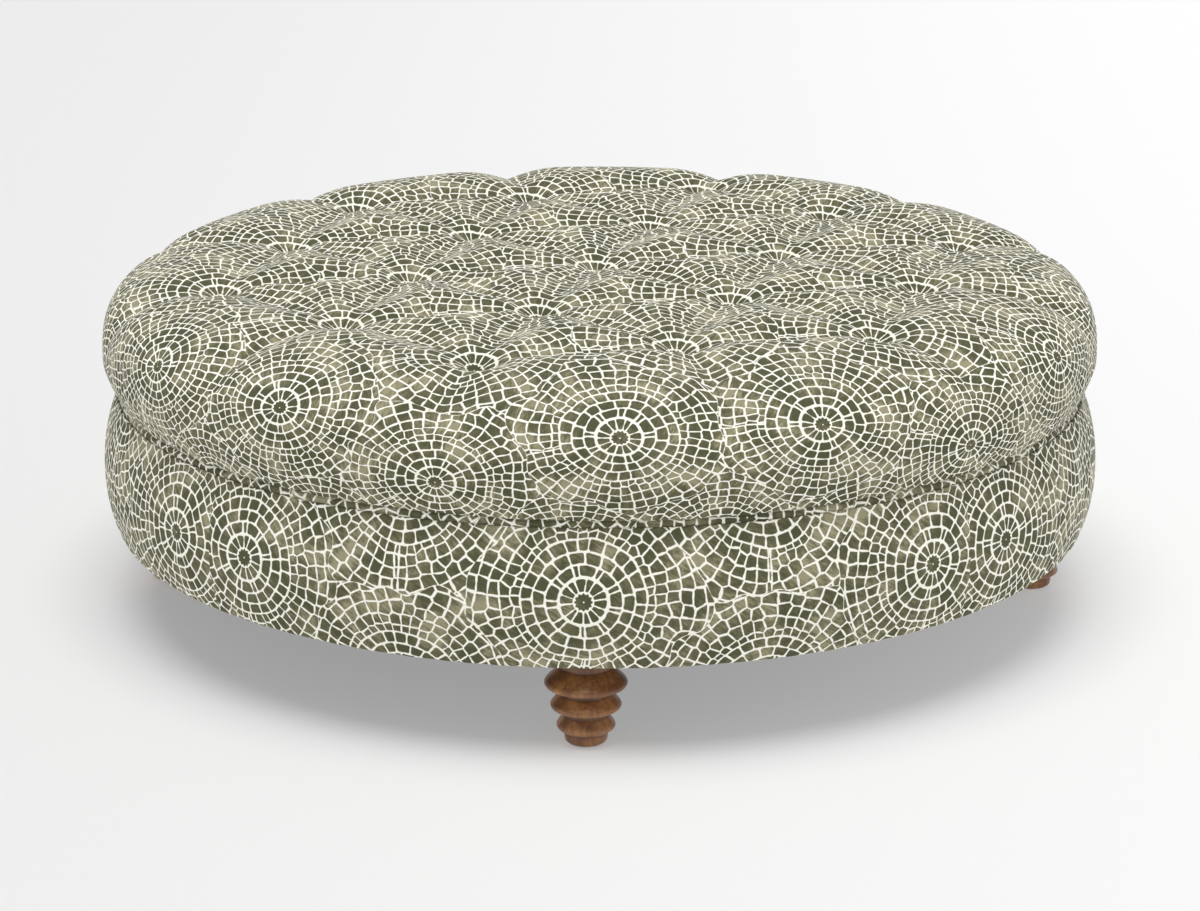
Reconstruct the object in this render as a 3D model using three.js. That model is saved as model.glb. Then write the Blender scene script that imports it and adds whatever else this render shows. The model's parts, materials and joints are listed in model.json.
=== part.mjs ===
// Tuffet: a low round ottoman on four turned legs.
// A tufted cushion sits on a plywood drum, and the drum's padded border bulges under a piped waist.
// Millimetres, +Z up. The origin is on the floor under the centre. The legs stand on the X and Y axes.

import * as THREE from 'three';

// Sizes that all pieces share
const fit_gap = 0.3;               // left between pieces that rest on each other
const cloth_thickness = 2;         // woven cover with its backing
const ring_sides = 48;             // flat sides of each piece that runs round the tuffet

// Glides, nailed under the legs
const glide_radius = 15;
const glide_thickness = 2.5;
const glide_edge = 1;              // slope at the glide's lower edge
const nail_radius = 1.5;
const nail_length = 14;
const nail_clearance = 0.3;

// Turned legs, listed from the foot up
const foot_radius = 24;
const foot_low_radius = 22.7;
const foot_round = 2.4;
const foot_height = 12;
const low_disc_radius = 32;
const low_disc_under = 7.5;        // from the disc's root up to its widest line
const low_disc_over = 12.5;        // from its widest line up to the groove above
const low_groove_radius = 23.5;
const middle_disc_radius = 38.5;
const middle_disc_under = 8;
const middle_disc_over = 13.5;
const middle_groove_radius = 27;
const top_disc_radius = 45;
const top_disc_under = 9;
const top_disc_over = 18;
const neck_radius = 27.5;
const neck_height = 8.5;
const groove_height = 2.5;
const disc_rim = 3;                // half the height of a disc's rounded rim
const disc_rim_round = 1.5;
const leg_pad_radius = 34;
const leg_pad_height = 6;
const leg_sides = 20;

// Hanger bolts and the tee nuts that they screw into
const bolt_radius = 4;
const bolt_point = 6;
const bolt_in_leg = 32;
const bolt_end = 2;                // stands past the nut
const bolt_clearance = 0.3;
const bolt_hole_radius = 5;
const nut_barrel_radius = 5.5;
const nut_barrel_length = 12;
const nut_flange_radius = 11;
const nut_flange_thickness = 1.5;
const bolt_sides = 8;
const nut_sides = 10;

// Plywood drum
const board_radius = 547;
const board_thickness = 18;
const upright_count = 8;
const upright_width = 60;
const upright_depth = 30;
const upright_height = 125;
const frame_setback = 3;           // from the boards' edge in to the uprights and leg blocks
const leg_inset = 29;              // from the boards' edge in to a leg's axis
const block_width = 70;
const block_height = 25;
const band_thickness = 3;

// Cloth under the drum
const dust_cover_thickness = 1;
const dust_cover_inset = 11;       // from the hem in to the dust cover's edge
const hem_return = 20;             // cover cloth folded under the base board
const hem_round = 4;

// Padded border, as it stands out from the drum's side band
const hem_reach = 23;
const border_reach = 35.2;
const border_top_reach = 18.7;
const border_widest_height = 68;   // above the hem
const border_shoulder_drop = 1.4;
const border_bulge_power = 2.2;
const border_steps = 6;

// Piping at the waist, with its stapled lip and the card strip that holds the border's top edge
const welt_radius = 6;
const welt_stand_off = 4.7;        // from the side band out to the cord
const welt_lip_thickness = 1.5;
const welt_lip_length = 22;
const welt_cord_steps = 5;
const tack_strip_thickness = 1.5;
const tack_strip_height = 12;
const tack_strip_raise = 2;        // above the lip's lower edge

// Cushion, as it stands out from the side band and above the deck
const waist_reach = 14.7;
const cushion_reach = 31.7;
const widest_height = 34.5;
const crown_height = 138;
const crown_power = 7.8;
const shoulder_power = 3.2;
const pleat_depth = 13;

// Tufts: a hexagon of rows, three, four, five, four and three long
const tuft_margin = 99.8;          // from the deck's edge in to the ends of the longest row
const tuft_height = 103;           // above the deck
const tuft_turn_degrees = 15.5;    // from the X axis to the rows
const tuft_rings = 2;              // round the middle tuft
const eye_radius = 3;              // hole that the twine runs through
const twine_radius = 1.25;
const knot_radius = 3.5;
const knot_thickness = 2;
const toggle_radius = 12;
const toggle_thickness = 4;
const tie_sides = 6;

// Shares that shape the cushion's surface
const tuft_row_share = 0.81;                            // of the spacing along a row, from row to row
const valley_share = 0.55;                              // of a puff's rise, halfway between two tufts
const fold_share = 0.25;                                // of a puff's width, from its fold to its full rise
const rim_out_shares = [0.58, 0.86, 0.99];              // of the way from the last tufts to the widest line
const rim_pleat_shares = [1, 0.8, 0.4, 0.12, 0, 0];     // of the pleats' depth, ring by ring
const rim_even_shares = [0, 0.2, 0.5, 0.8, 1, 1];       // how far each ring's columns are evenly spaced

// Steps of the cushion's net
const net_steps = 4;                                    // from one tuft to the next
const sides_of_hexagon = 6;

const half = 0.5;
const full_turn = Math.PI * 2;
const tuft_turn = THREE.MathUtils.degToRad(tuft_turn_degrees);

// Heights above the floor, from the glides up
const leg_height = foot_height + low_disc_under + low_disc_over + groove_height
  + middle_disc_under + middle_disc_over + groove_height
  + top_disc_under + top_disc_over + neck_height + leg_pad_height;
const leg_top_z = glide_thickness + leg_height;
const dust_cover_z = leg_top_z + fit_gap;
const hem_z = dust_cover_z + dust_cover_thickness + fit_gap;
const base_board_z = hem_z + cloth_thickness + fit_gap;
const frame_floor_z = base_board_z + board_thickness + fit_gap;
const deck_z = frame_floor_z + upright_height + fit_gap;
const deck_top_z = deck_z + board_thickness;
const cover_lip_z = deck_top_z - cloth_thickness;
const welt_z = cover_lip_z - fit_gap - welt_radius;
const border_top_z = welt_z - welt_radius - fit_gap;
const border_widest_z = hem_z + border_widest_height;
const widest_z = deck_top_z + widest_height;
const crown_z = deck_top_z + crown_height;
const tuft_z = deck_top_z + tuft_height;
const nut_z = frame_floor_z + block_height + fit_gap;

// Distances from the axis
const leg_circle_radius = board_radius - leg_inset;
const frame_face_radius = board_radius - frame_setback;
const band_radius = board_radius + fit_gap + band_thickness;
const padding_radius = band_radius + fit_gap;
const hem_radius = band_radius + hem_reach;
const border_radius = band_radius + border_reach;
const border_top_radius = band_radius + border_top_reach;
const waist_radius = band_radius + waist_reach;
const cushion_radius = band_radius + cushion_reach;
const tack_strip_radius = padding_radius + welt_lip_thickness + fit_gap;
const border_edge_radius = tack_strip_radius + tack_strip_thickness + fit_gap;
const welt_lip_z = welt_z - welt_lip_length;
const tuft_spacing = (board_radius - tuft_margin) / tuft_rings;
const tuft_row_pitch = tuft_spacing * tuft_row_share;

function point(radius, z) {
  return new THREE.Vector2(radius, z);
}

// A profile of radius and height, turned round the Z axis
function turned(profile, sides, turn = 0) {
  const geometry = new THREE.LatheGeometry(profile, sides, turn);
  geometry.rotateX(Math.PI * half);
  return geometry;
}

// A closed profile, turned into a ring whose corners line up with the cushion's columns
function ring(profile) {
  return turned([...profile, profile[0]], ring_sides, tuft_turn);
}

function round_outline(radius, sides, turn = 0, x = 0, y = 0) {
  const outline = [];
  for (let side = 0; side < sides; side += 1) {
    const angle = turn + full_turn * side / sides;
    outline.push(new THREE.Vector2(x + radius * Math.cos(angle), y + radius * Math.sin(angle)));
  }
  return outline;
}

// A flat plate on the XY plane, with round holes
function plate(outline, holes, thickness) {
  const shape = new THREE.Shape(outline);
  shape.holes = holes.map((hole) => new THREE.Path(hole));
  return new THREE.ExtrudeGeometry(shape, { depth: thickness, bevelEnabled: false, curveSegments: 1 });
}

// The direction to a line's left at one of its points, long enough to keep a wall's full thickness
function left_of(line, index) {
  const before = line[Math.max(index - 1, 0)];
  const here = line[index];
  const after = line[Math.min(index + 1, line.length - 1)];
  const arriving = here.clone().sub(before);
  const leaving = after.clone().sub(here);
  if (index === 0) arriving.copy(leaving);
  if (index === line.length - 1) leaving.copy(arriving);
  const first = point(-arriving.y, arriving.x).normalize();
  const second = point(-leaving.y, leaving.x).normalize();
  return first.clone().add(second).divideScalar(1 + first.dot(second));
}

function beside(line, distance) {
  return line.map((place, index) => place.clone().addScaledVector(left_of(line, index), distance));
}

// Lattice of the tufts
const lattice_corners = [[1, 0], [0, 1], [-1, 1], [-1, 0], [0, -1], [1, -1]];
const tuft_ring = tuft_rings * net_steps;
const columns = sides_of_hexagon * tuft_ring;

function lattice_place(a, b) {
  const x = (a + b * half) * tuft_spacing;
  const y = b * tuft_row_pitch;
  return new THREE.Vector2(x, y).rotateAround(new THREE.Vector2(), tuft_turn);
}

// Lattice steps of one point on a hexagonal ring of the net
function ring_steps(net_ring, index) {
  if (net_ring === 0) return [0, 0];
  const side = Math.floor(index / net_ring);
  const along = (index % net_ring) / net_ring;
  const reach = net_ring / net_steps;
  const from = lattice_corners[side];
  const to = lattice_corners[(side + 1) % sides_of_hexagon];
  return from.map((step, axis) => reach * THREE.MathUtils.lerp(step, to[axis], along));
}

// Height of the cushion without tufts and pleats
function crown_at(radius) {
  const out = Math.min(radius / cushion_radius, 1);
  return widest_z + (crown_z - widest_z) * (1 - out ** crown_power) ** (1 / shoulder_power);
}

// A puff's rise from its tufts, 0 at a tuft and 1 at its crest
function puff_rise(a, b) {
  const part_a = a - Math.floor(a);
  const part_b = b - Math.floor(b);
  const near = part_a + part_b <= 1;
  const weights = near
    ? [1 - part_a - part_b, part_a, part_b]
    : [part_a + part_b - 1, 1 - part_a, 1 - part_b];
  const from_tuft = Math.min((1 - Math.max(...weights)) / half, 1);
  const from_fold = Math.min(Math.min(...weights) / fold_share, 1);
  return Math.sin(from_tuft * Math.PI * half) * THREE.MathUtils.lerp(valley_share, 1, from_fold);
}

// Columns run from the ring of outer tufts out over the rim, and a pleat runs down every fourth
function column_starts() {
  const starts = [];
  for (let column = 0; column < columns; column += 1) {
    starts.push(lattice_place(...ring_steps(tuft_ring, column)));
  }
  return starts;
}

const starts = column_starts();

function column_angle(column, even_share) {
  const pleat = Math.floor(column / net_steps) * net_steps;
  const along = (column - pleat) / net_steps;
  const even = tuft_turn + full_turn * column / columns;
  const near = starts[pleat % columns].angle();
  let span = starts[(pleat + net_steps) % columns].angle() - near;
  if (span < 0) span += full_turn;
  let angle = near + span * along;
  if (angle - even > Math.PI) angle -= full_turn;
  if (even - angle > Math.PI) angle += full_turn;
  return THREE.MathUtils.lerp(angle, even, even_share);
}

// A column's line of radius and height: out over the crown, down to the waist, and in to the drum
function column_line(column) {
  const start = starts[column].length();
  const line = [point(start, crown_at(start))];
  for (const share of rim_out_shares) {
    const radius = THREE.MathUtils.lerp(start, cushion_radius, share);
    line.push(point(radius, crown_at(radius)));
  }
  line.push(point(cushion_radius, widest_z));
  line.push(point(waist_radius, cover_lip_z));
  line.push(point(padding_radius, cover_lip_z));
  return line.reverse();
}

// Spots of the cushion's net: a place on the cover's face, and the way in from it
function cushion_net() {
  const spots = [];
  const tufts = [];
  const rings = [];

  for (let net_ring = 0; net_ring <= tuft_ring; net_ring += 1) {
    const members = [];
    for (let index = 0; index < Math.max(net_ring * sides_of_hexagon, 1); index += 1) {
      const [a, b] = ring_steps(net_ring, index);
      const plan = lattice_place(a, b);
      const z = THREE.MathUtils.lerp(tuft_z, crown_at(plan.length()), puff_rise(a, b));
      if (Number.isInteger(a) && Number.isInteger(b)) tufts.push(spots.length);
      members.push(spots.length);
      spots.push({ face: new THREE.Vector3(plan.x, plan.y, z), inward: new THREE.Vector3(0, 0, -1) });
    }
    rings.push(members);
  }

  const lines = starts.map((start, column) => column_line(column));
  for (let rim_ring = 0; rim_ring < rim_pleat_shares.length; rim_ring += 1) {
    const members = [];
    for (let column = 0; column < columns; column += 1) {
      const line = lines[column];
      const index = line.length - 2 - rim_ring;
      const across = (column % net_steps) / net_steps;
      const pleat = pleat_depth * rim_pleat_shares[rim_ring] * (1 - across / half) ** 2;
      const way_in = left_of(line, index);
      const place = line[index].clone().addScaledVector(way_in, pleat);
      const angle = column_angle(column, rim_even_shares[rim_ring]);
      const outward = new THREE.Vector3(Math.cos(angle), Math.sin(angle), 0);
      members.push(spots.length);
      spots.push({
        face: outward.clone().multiplyScalar(place.x).setZ(place.y),
        inward: outward.clone().multiplyScalar(way_in.x).setZ(way_in.y),
      });
    }
    rings.push(members);
  }
  return { spots, tufts, rings };
}

// Triangles between one ring of the net and the next, facing up and out
function ring_faces(inner, outer) {
  const faces = [];
  const sides = inner.length < outer.length ? sides_of_hexagon : 1;
  const outer_steps = outer.length / sides;
  const inner_steps = inner.length < outer.length ? outer_steps - 1 : outer_steps;
  for (let side = 0; side < sides; side += 1) {
    for (let step = 0; step < outer_steps; step += 1) {
      const near = inner[(side * inner_steps + step) % inner.length];
      const next = inner[(side * inner_steps + step + 1) % inner.length];
      const far = outer[side * outer_steps + step];
      const far_next = outer[(side * outer_steps + step + 1) % outer.length];
      faces.push([near, far, far_next]);
      if (step < inner_steps) faces.push([near, far_next, next]);
    }
  }
  return faces;
}

const net = cushion_net();

// The net's inner rings, with a small eye opened round each tuft for its twine
function opened_net(ring_count) {
  const spots = [...net.spots];
  const eyes = new Map();
  const faces = [];

  function eye_spot(tuft, neighbour) {
    const key = `${tuft} ${neighbour}`;
    if (!eyes.has(key)) eyes.set(key, spots.push({ tuft, neighbour }) - 1);
    return eyes.get(key);
  }

  for (let inner = 0; inner < ring_count - 1; inner += 1) {
    for (const face of ring_faces(net.rings[inner], net.rings[inner + 1])) {
      const corner = face.findIndex((spot) => net.tufts.includes(spot));
      if (corner < 0) {
        faces.push(face);
        continue;
      }
      const [tuft, first, second] = [face[corner], face[(corner + 1) % 3], face[(corner + 2) % 3]];
      const first_eye = eye_spot(tuft, first);
      const second_eye = eye_spot(tuft, second);
      faces.push([first_eye, first, second], [first_eye, second, second_eye]);
    }
  }
  return { spots, faces };
}

// Points of the spots at a depth below the cover's face
function points_at(spots, depth) {
  const points = spots.map((spot) => spot.face && spot.face.clone().addScaledVector(spot.inward, depth));
  spots.forEach((spot, index) => {
    if (spot.face) return;
    const from = points[spot.tuft];
    const to = points[spot.neighbour];
    const distance = Math.hypot(to.x - from.x, to.y - from.y);
    points[index] = from.clone().lerp(to, eye_radius / distance);
  });
  return points;
}

// Loops of edges that only one triangle has
function open_loops(faces) {
  const next = new Map();
  for (const face of faces) {
    face.forEach((spot, corner) => next.set(`${spot} ${face[(corner + 1) % 3]}`, face[(corner + 1) % 3]));
  }
  const follow = new Map();
  for (const edge of next.keys()) {
    const [from, to] = edge.split(' ').map(Number);
    if (!next.has(`${to} ${from}`)) follow.set(from, to);
  }
  const loops = [];
  while (follow.size > 0) {
    const loop = [];
    let spot = follow.keys().next().value;
    while (follow.has(spot)) {
      loop.push(spot);
      const to = follow.get(spot);
      follow.delete(spot);
      spot = to;
    }
    loops.push(loop);
  }
  return loops.sort((one, other) => other.length - one.length);
}

// A wall from a loop on one face to its twin on the other
function loop_wall(loop, twin) {
  return loop.flatMap((spot, index) => {
    const after = (index + 1) % loop.length;
    return [[loop[after], spot, twin[index]], [loop[after], twin[index], twin[after]]];
  });
}

function solid(points, faces) {
  return new THREE.BufferGeometry().setFromPoints(faces.flat().map((spot) => points[spot]));
}

function seat_cover() {
  const { spots, faces } = opened_net(net.rings.length);
  const outside = points_at(spots, 0);
  const inside = points_at(spots, cloth_thickness);
  const twin = (spot) => spot + outside.length;
  const lining = faces.map((face) => face.map(twin).reverse());
  const walls = open_loops(faces).flatMap((loop) => loop_wall(loop, loop.map(twin)));
  return solid([...outside, ...inside], [...faces, ...lining, ...walls]);
}

// The foam ends at the cushion's lower corner, and its underside is flat, with an eye for each twine
function seat_foam() {
  const { spots, faces } = opened_net(net.rings.length - 1);
  const points = points_at(spots, cloth_thickness + fit_gap);
  const [edge, ...eyes] = open_loops(faces);
  const floor_z = deck_top_z + fit_gap;
  const walls = [];
  const feet = eyes.map((eye) => {
    const foot = eye.map((spot) => points.push(points[spot].clone().setZ(floor_z)) - 1);
    walls.push(...loop_wall(eye, foot));
    return foot;
  });
  const plan = (loop) => loop.map((spot) => new THREE.Vector2(points[spot].x, points[spot].y));
  const underside = THREE.ShapeUtils.triangulateShape(plan(edge), feet.map(plan));
  const floor_spots = [edge, ...feet].flat();
  const floor = underside.map((face) => face.map((spot) => floor_spots[spot]).reverse());
  return solid(points, [...faces, ...walls, ...floor]);
}

// Twine through the deck, the foam and the cover, with a toggle below and a knot above
function tuft_tie(x, y) {
  const steepest = valley_share * (crown_z - tuft_z) / (tuft_spacing / net_steps);
  const knot_z = tuft_z + steepest * knot_radius + fit_gap;
  const toggle_z = deck_z - fit_gap;
  const profile = [
    point(0, toggle_z - toggle_thickness),
    point(toggle_radius, toggle_z - toggle_thickness),
    point(toggle_radius, toggle_z),
    point(twine_radius, toggle_z),
    point(twine_radius, knot_z),
    point(knot_radius, knot_z),
    point(knot_radius, knot_z + knot_thickness),
    point(0, knot_z + knot_thickness),
  ];
  return turned(profile, tie_sides).translate(x, y, 0);
}

// Radius of the border's face at a height
function border_at(z) {
  const below = z < border_widest_z;
  const end_z = below ? hem_z + hem_round : border_top_z - border_shoulder_drop;
  const end_radius = below ? hem_radius : border_top_radius;
  const share = (z - border_widest_z) / (end_z - border_widest_z);
  return border_radius - (border_radius - end_radius) * share ** border_bulge_power;
}

// The border's face, from its return under the base board out, up, and in to the tack strip
function border_line() {
  const line = [point(band_radius - hem_return, hem_z), point(hem_radius - hem_round, hem_z)];
  const low_z = hem_z + hem_round;
  const high_z = border_top_z - border_shoulder_drop;
  for (let step = 0; step <= border_steps; step += 1) {
    const z = THREE.MathUtils.lerp(low_z, high_z, step / border_steps);
    line.push(point(border_at(z), z));
  }
  line.push(point(border_edge_radius, border_top_z));
  return line;
}

function border_cover() {
  const line = border_line();
  return ring([...line, ...beside(line, cloth_thickness).reverse()]);
}

function border_foam() {
  const line = beside(border_line(), cloth_thickness + fit_gap);
  const notch_z = welt_lip_z - fit_gap;
  return ring([
    point(padding_radius, line[0].y),
    ...line.slice(1),
    point(border_edge_radius, notch_z),
    point(padding_radius, notch_z),
  ]);
}

// Board bent round the uprights and stapled to both plywood discs
function side_band() {
  const inside = board_radius + fit_gap;
  return ring([
    point(inside, base_board_z),
    point(band_radius, base_board_z),
    point(band_radius, deck_top_z),
    point(inside, deck_top_z),
  ]);
}

// A cord sewn into a strip of cloth, whose lip is stapled to the side band
function waist_welt() {
  const cord_radius = band_radius + welt_stand_off + welt_radius;
  const lip_face = padding_radius + welt_lip_thickness;
  const seam_half = welt_lip_thickness;
  const seam = Math.asin(seam_half / welt_radius);
  const profile = [
    point(padding_radius, welt_lip_z),
    point(lip_face, welt_lip_z),
    point(lip_face, welt_z - seam_half),
  ];
  for (let step = 0; step <= welt_cord_steps; step += 1) {
    const angle = THREE.MathUtils.lerp(Math.PI + seam, Math.PI * 3 - seam, step / welt_cord_steps);
    profile.push(point(cord_radius + welt_radius * Math.cos(angle), welt_z + welt_radius * Math.sin(angle)));
  }
  profile.push(point(padding_radius, welt_z + seam_half));
  return ring(profile);
}

function tack_strip() {
  const low_z = welt_lip_z + tack_strip_raise;
  return ring([
    point(tack_strip_radius, low_z),
    point(tack_strip_radius + tack_strip_thickness, low_z),
    point(tack_strip_radius + tack_strip_thickness, low_z + tack_strip_height),
    point(tack_strip_radius, low_z + tack_strip_height),
  ]);
}

function tuft_places() {
  return net.tufts.map((tuft) => net.spots[tuft].face);
}

function seat_deck() {
  const holes = tuft_places().map((place) => round_outline(eye_radius, tie_sides, 0, place.x, place.y));
  const outline = round_outline(board_radius, ring_sides, tuft_turn);
  return plate(outline, holes, board_thickness).translate(0, 0, deck_z);
}

// A disc with a hole for each leg's bolt
function bolted_disc(radius, thickness, z) {
  const holes = leg_angles().map((angle) => {
    const place = new THREE.Vector2(leg_circle_radius, 0).rotateAround(new THREE.Vector2(), angle);
    return round_outline(bolt_hole_radius, bolt_sides, 0, place.x, place.y);
  });
  return plate(round_outline(radius, ring_sides, tuft_turn), holes, thickness).translate(0, 0, z);
}

// Pieces at a leg, modelled on the Z axis
function leg() {
  const profile = [
    point(0, nail_length + nail_clearance),
    point(nail_radius + nail_clearance, nail_length + nail_clearance),
    point(nail_radius + nail_clearance, 0),
    point(foot_low_radius - foot_round, 0),
    point(foot_low_radius, foot_round),
    point(foot_radius, foot_height),
  ];
  const discs = [
    [low_disc_radius, low_disc_under, low_disc_over, low_groove_radius, groove_height],
    [middle_disc_radius, middle_disc_under, middle_disc_over, middle_groove_radius, groove_height],
    [top_disc_radius, top_disc_under, top_disc_over, neck_radius, neck_height],
  ];
  let z = foot_height;
  for (const [radius, under, over, root_radius, root_height] of discs) {
    const widest = z + under;
    profile.push(point(radius - disc_rim_round, widest - disc_rim));
    profile.push(point(radius, widest));
    profile.push(point(radius - disc_rim_round, widest + disc_rim));
    profile.push(point(root_radius, widest + over));
    profile.push(point(root_radius, widest + over + root_height));
    z = widest + over + root_height;
  }
  profile.push(
    point(leg_pad_radius, z),
    point(leg_pad_radius, leg_height),
    point(bolt_radius + bolt_clearance, leg_height),
    point(bolt_radius + bolt_clearance, leg_height - bolt_in_leg - bolt_clearance),
    point(0, leg_height - bolt_in_leg - bolt_clearance),
  );
  return turned(profile, leg_sides).translate(0, 0, glide_thickness);
}

function glide() {
  const face_z = glide_thickness - fit_gap;
  return turned([
    point(0, 0),
    point(glide_radius - glide_edge, 0),
    point(glide_radius, glide_edge),
    point(glide_radius, face_z),
    point(nail_radius, face_z),
    point(nail_radius, face_z + nail_length),
    point(0, face_z + nail_length),
  ], nut_sides);
}

function hanger_bolt() {
  const low_z = leg_top_z - bolt_in_leg;
  const high_z = nut_z + nut_flange_thickness + bolt_end;
  return turned([
    point(0, low_z),
    point(bolt_radius, low_z + bolt_point),
    point(bolt_radius, high_z),
    point(0, high_z),
  ], bolt_sides);
}

function tee_nut() {
  const bore = bolt_radius + bolt_clearance;
  const barrel_z = nut_z - nut_barrel_length;
  const top_z = nut_z + nut_flange_thickness;
  return turned([
    point(bore, barrel_z),
    point(nut_barrel_radius, barrel_z),
    point(nut_barrel_radius, nut_z),
    point(nut_flange_radius, nut_z),
    point(nut_flange_radius, top_z),
    point(bore, top_z),
    point(bore, barrel_z),
  ], nut_sides);
}

function leg_block() {
  const depth = leg_inset - frame_setback;
  const width = block_width * half;
  const outline = [point(-depth, -width), point(depth, -width), point(depth, width), point(-depth, width)];
  const bore = round_outline(nut_barrel_radius + fit_gap, nut_sides);
  return plate(outline, [bore], block_height).translate(0, 0, frame_floor_z);
}

function upright() {
  const box = new THREE.BoxGeometry(upright_depth, upright_width, upright_height);
  return box.translate(frame_face_radius - upright_depth * half, 0, frame_floor_z + upright_height * half);
}

// Materials
function material(color, roughness, metalness = 0) {
  return new THREE.MeshStandardMaterial({ color, roughness, metalness });
}

const printed_cloth = material('#98977a', 0.9);
const foam = material('#efe6c8', 0.95);
const turned_wood = material('#7d5534', 0.45);
const plywood = material('#c9a878', 0.75);
const pine = material('#d8bb88', 0.75);
const card = material('#b9a98c', 0.9);
const black_cambric = material('#1e1e1f', 0.95);
const zinc_steel = material('#a3a6aa', 0.4, 0.9);
const nylon = material('#3a332c', 0.5);
const waxed_twine = material('#e9e2c9', 0.8);

// Assembly
const tuffet = new THREE.Group();

function add(name, geometry, finish, parent = tuffet) {
  const mesh = new THREE.Mesh(geometry, finish);
  mesh.name = name;
  parent.add(mesh);
}

const leg_sides_of_tuffet = ['right', 'back', 'left', 'front'];

function leg_angles() {
  return leg_sides_of_tuffet.map((side, index) => full_turn * index / leg_sides_of_tuffet.length);
}

add('seat_cover', seat_cover(), printed_cloth);
add('seat_foam', seat_foam(), foam);
add('waist_welt', waist_welt(), printed_cloth);
add('tack_strip', tack_strip(), card);
add('border_cover', border_cover(), printed_cloth);
add('border_foam', border_foam(), foam);
add('side_band', side_band(), card);
add('seat_deck', seat_deck(), plywood);
add('base_board', bolted_disc(board_radius, board_thickness, base_board_z), plywood);
const dust_cover_radius = hem_radius - dust_cover_inset;
add('dust_cover', bolted_disc(dust_cover_radius, dust_cover_thickness, dust_cover_z), black_cambric);

for (let number = 0; number < upright_count; number += 1) {
  const station = new THREE.Group();
  station.rotation.z = full_turn * (number + half) / upright_count;
  add(`upright_${number + 1}`, upright(), pine, station);
  tuffet.add(station);
}

leg_angles().forEach((angle, index) => {
  const side = leg_sides_of_tuffet[index];
  const station = new THREE.Group();
  const stand = new THREE.Group();
  station.rotation.z = angle;
  stand.position.x = leg_circle_radius;
  add(`leg_${side}`, leg(), turned_wood, stand);
  add(`glide_${side}`, glide(), nylon, stand);
  add(`hanger_bolt_${side}`, hanger_bolt(), zinc_steel, stand);
  add(`tee_nut_${side}`, tee_nut(), zinc_steel, stand);
  add(`leg_block_${side}`, leg_block(), pine, stand);
  station.add(stand);
  tuffet.add(station);
});

tuft_places().forEach((place, index) => {
  add(`tuft_tie_${index + 1}`, tuft_tie(place.x, place.y), waxed_twine);
});

export default tuffet;
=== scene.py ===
"""Tuffet: the looks of a low round tufted ottoman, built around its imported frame."""

import json
import math

import bpy
import numpy as np
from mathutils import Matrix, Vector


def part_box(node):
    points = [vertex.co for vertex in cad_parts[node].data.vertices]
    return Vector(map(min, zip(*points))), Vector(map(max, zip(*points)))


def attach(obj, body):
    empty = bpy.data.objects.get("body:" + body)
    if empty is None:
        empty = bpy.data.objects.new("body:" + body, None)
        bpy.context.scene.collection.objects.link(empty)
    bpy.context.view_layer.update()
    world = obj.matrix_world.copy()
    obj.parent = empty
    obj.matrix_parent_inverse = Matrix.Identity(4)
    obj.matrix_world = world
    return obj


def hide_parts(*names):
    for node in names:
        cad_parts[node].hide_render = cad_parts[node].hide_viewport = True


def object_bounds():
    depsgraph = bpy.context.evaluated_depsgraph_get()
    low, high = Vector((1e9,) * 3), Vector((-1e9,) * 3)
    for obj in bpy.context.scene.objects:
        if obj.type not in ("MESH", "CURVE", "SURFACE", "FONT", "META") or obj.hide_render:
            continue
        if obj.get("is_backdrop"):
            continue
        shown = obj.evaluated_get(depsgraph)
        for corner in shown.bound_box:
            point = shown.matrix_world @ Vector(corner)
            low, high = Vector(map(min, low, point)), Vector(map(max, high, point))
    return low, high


bl_info = {
    "name": "Tuffet",
    "version": (1, 0, 0),
    "blender": (4, 5, 0),
    "location": "View3D > Sidebar > Tuffet",
    "description": "Dresses the frame of a round tufted ottoman",
    "category": "Object",
}

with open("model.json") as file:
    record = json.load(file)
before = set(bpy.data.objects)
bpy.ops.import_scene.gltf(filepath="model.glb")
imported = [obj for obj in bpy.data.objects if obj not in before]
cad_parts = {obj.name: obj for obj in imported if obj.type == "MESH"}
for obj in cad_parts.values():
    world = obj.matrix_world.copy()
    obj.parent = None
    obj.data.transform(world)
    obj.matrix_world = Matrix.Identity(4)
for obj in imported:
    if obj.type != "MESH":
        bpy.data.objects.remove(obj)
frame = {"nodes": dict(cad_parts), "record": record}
CAD_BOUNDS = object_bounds()

SEAT_LOW, SEAT_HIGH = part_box("seat_cover")
BORDER_LOW, BORDER_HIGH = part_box("border_cover")
WELT_LOW, WELT_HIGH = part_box("waist_welt")
DECK_TOP_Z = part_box("seat_deck")[1].z
KNOT_TOP_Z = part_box("tuft_tie_1")[1].z

MILLIMETRE = 0.001
SIDES = ("right", "back", "left", "front")
ROW_TURN = math.radians(15.5)  # from the X axis to the rows of tufts
TUFT_SPACING = 0.2236          # along a row
TUFT_PITCH = 0.1811            # from row to row
OUTER_STEPS = 2                # from the middle tuft to the outer ones
FIT_GAP = 0.0003               # left between pieces that rest on each other
CLOTH_THICKNESS = 0.0018       # woven cover with its backing
CLOTH_MAP = "cloth"            # UV map that holds places on the flat cloth, in metres


# Sizes and colours that a user would change

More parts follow.
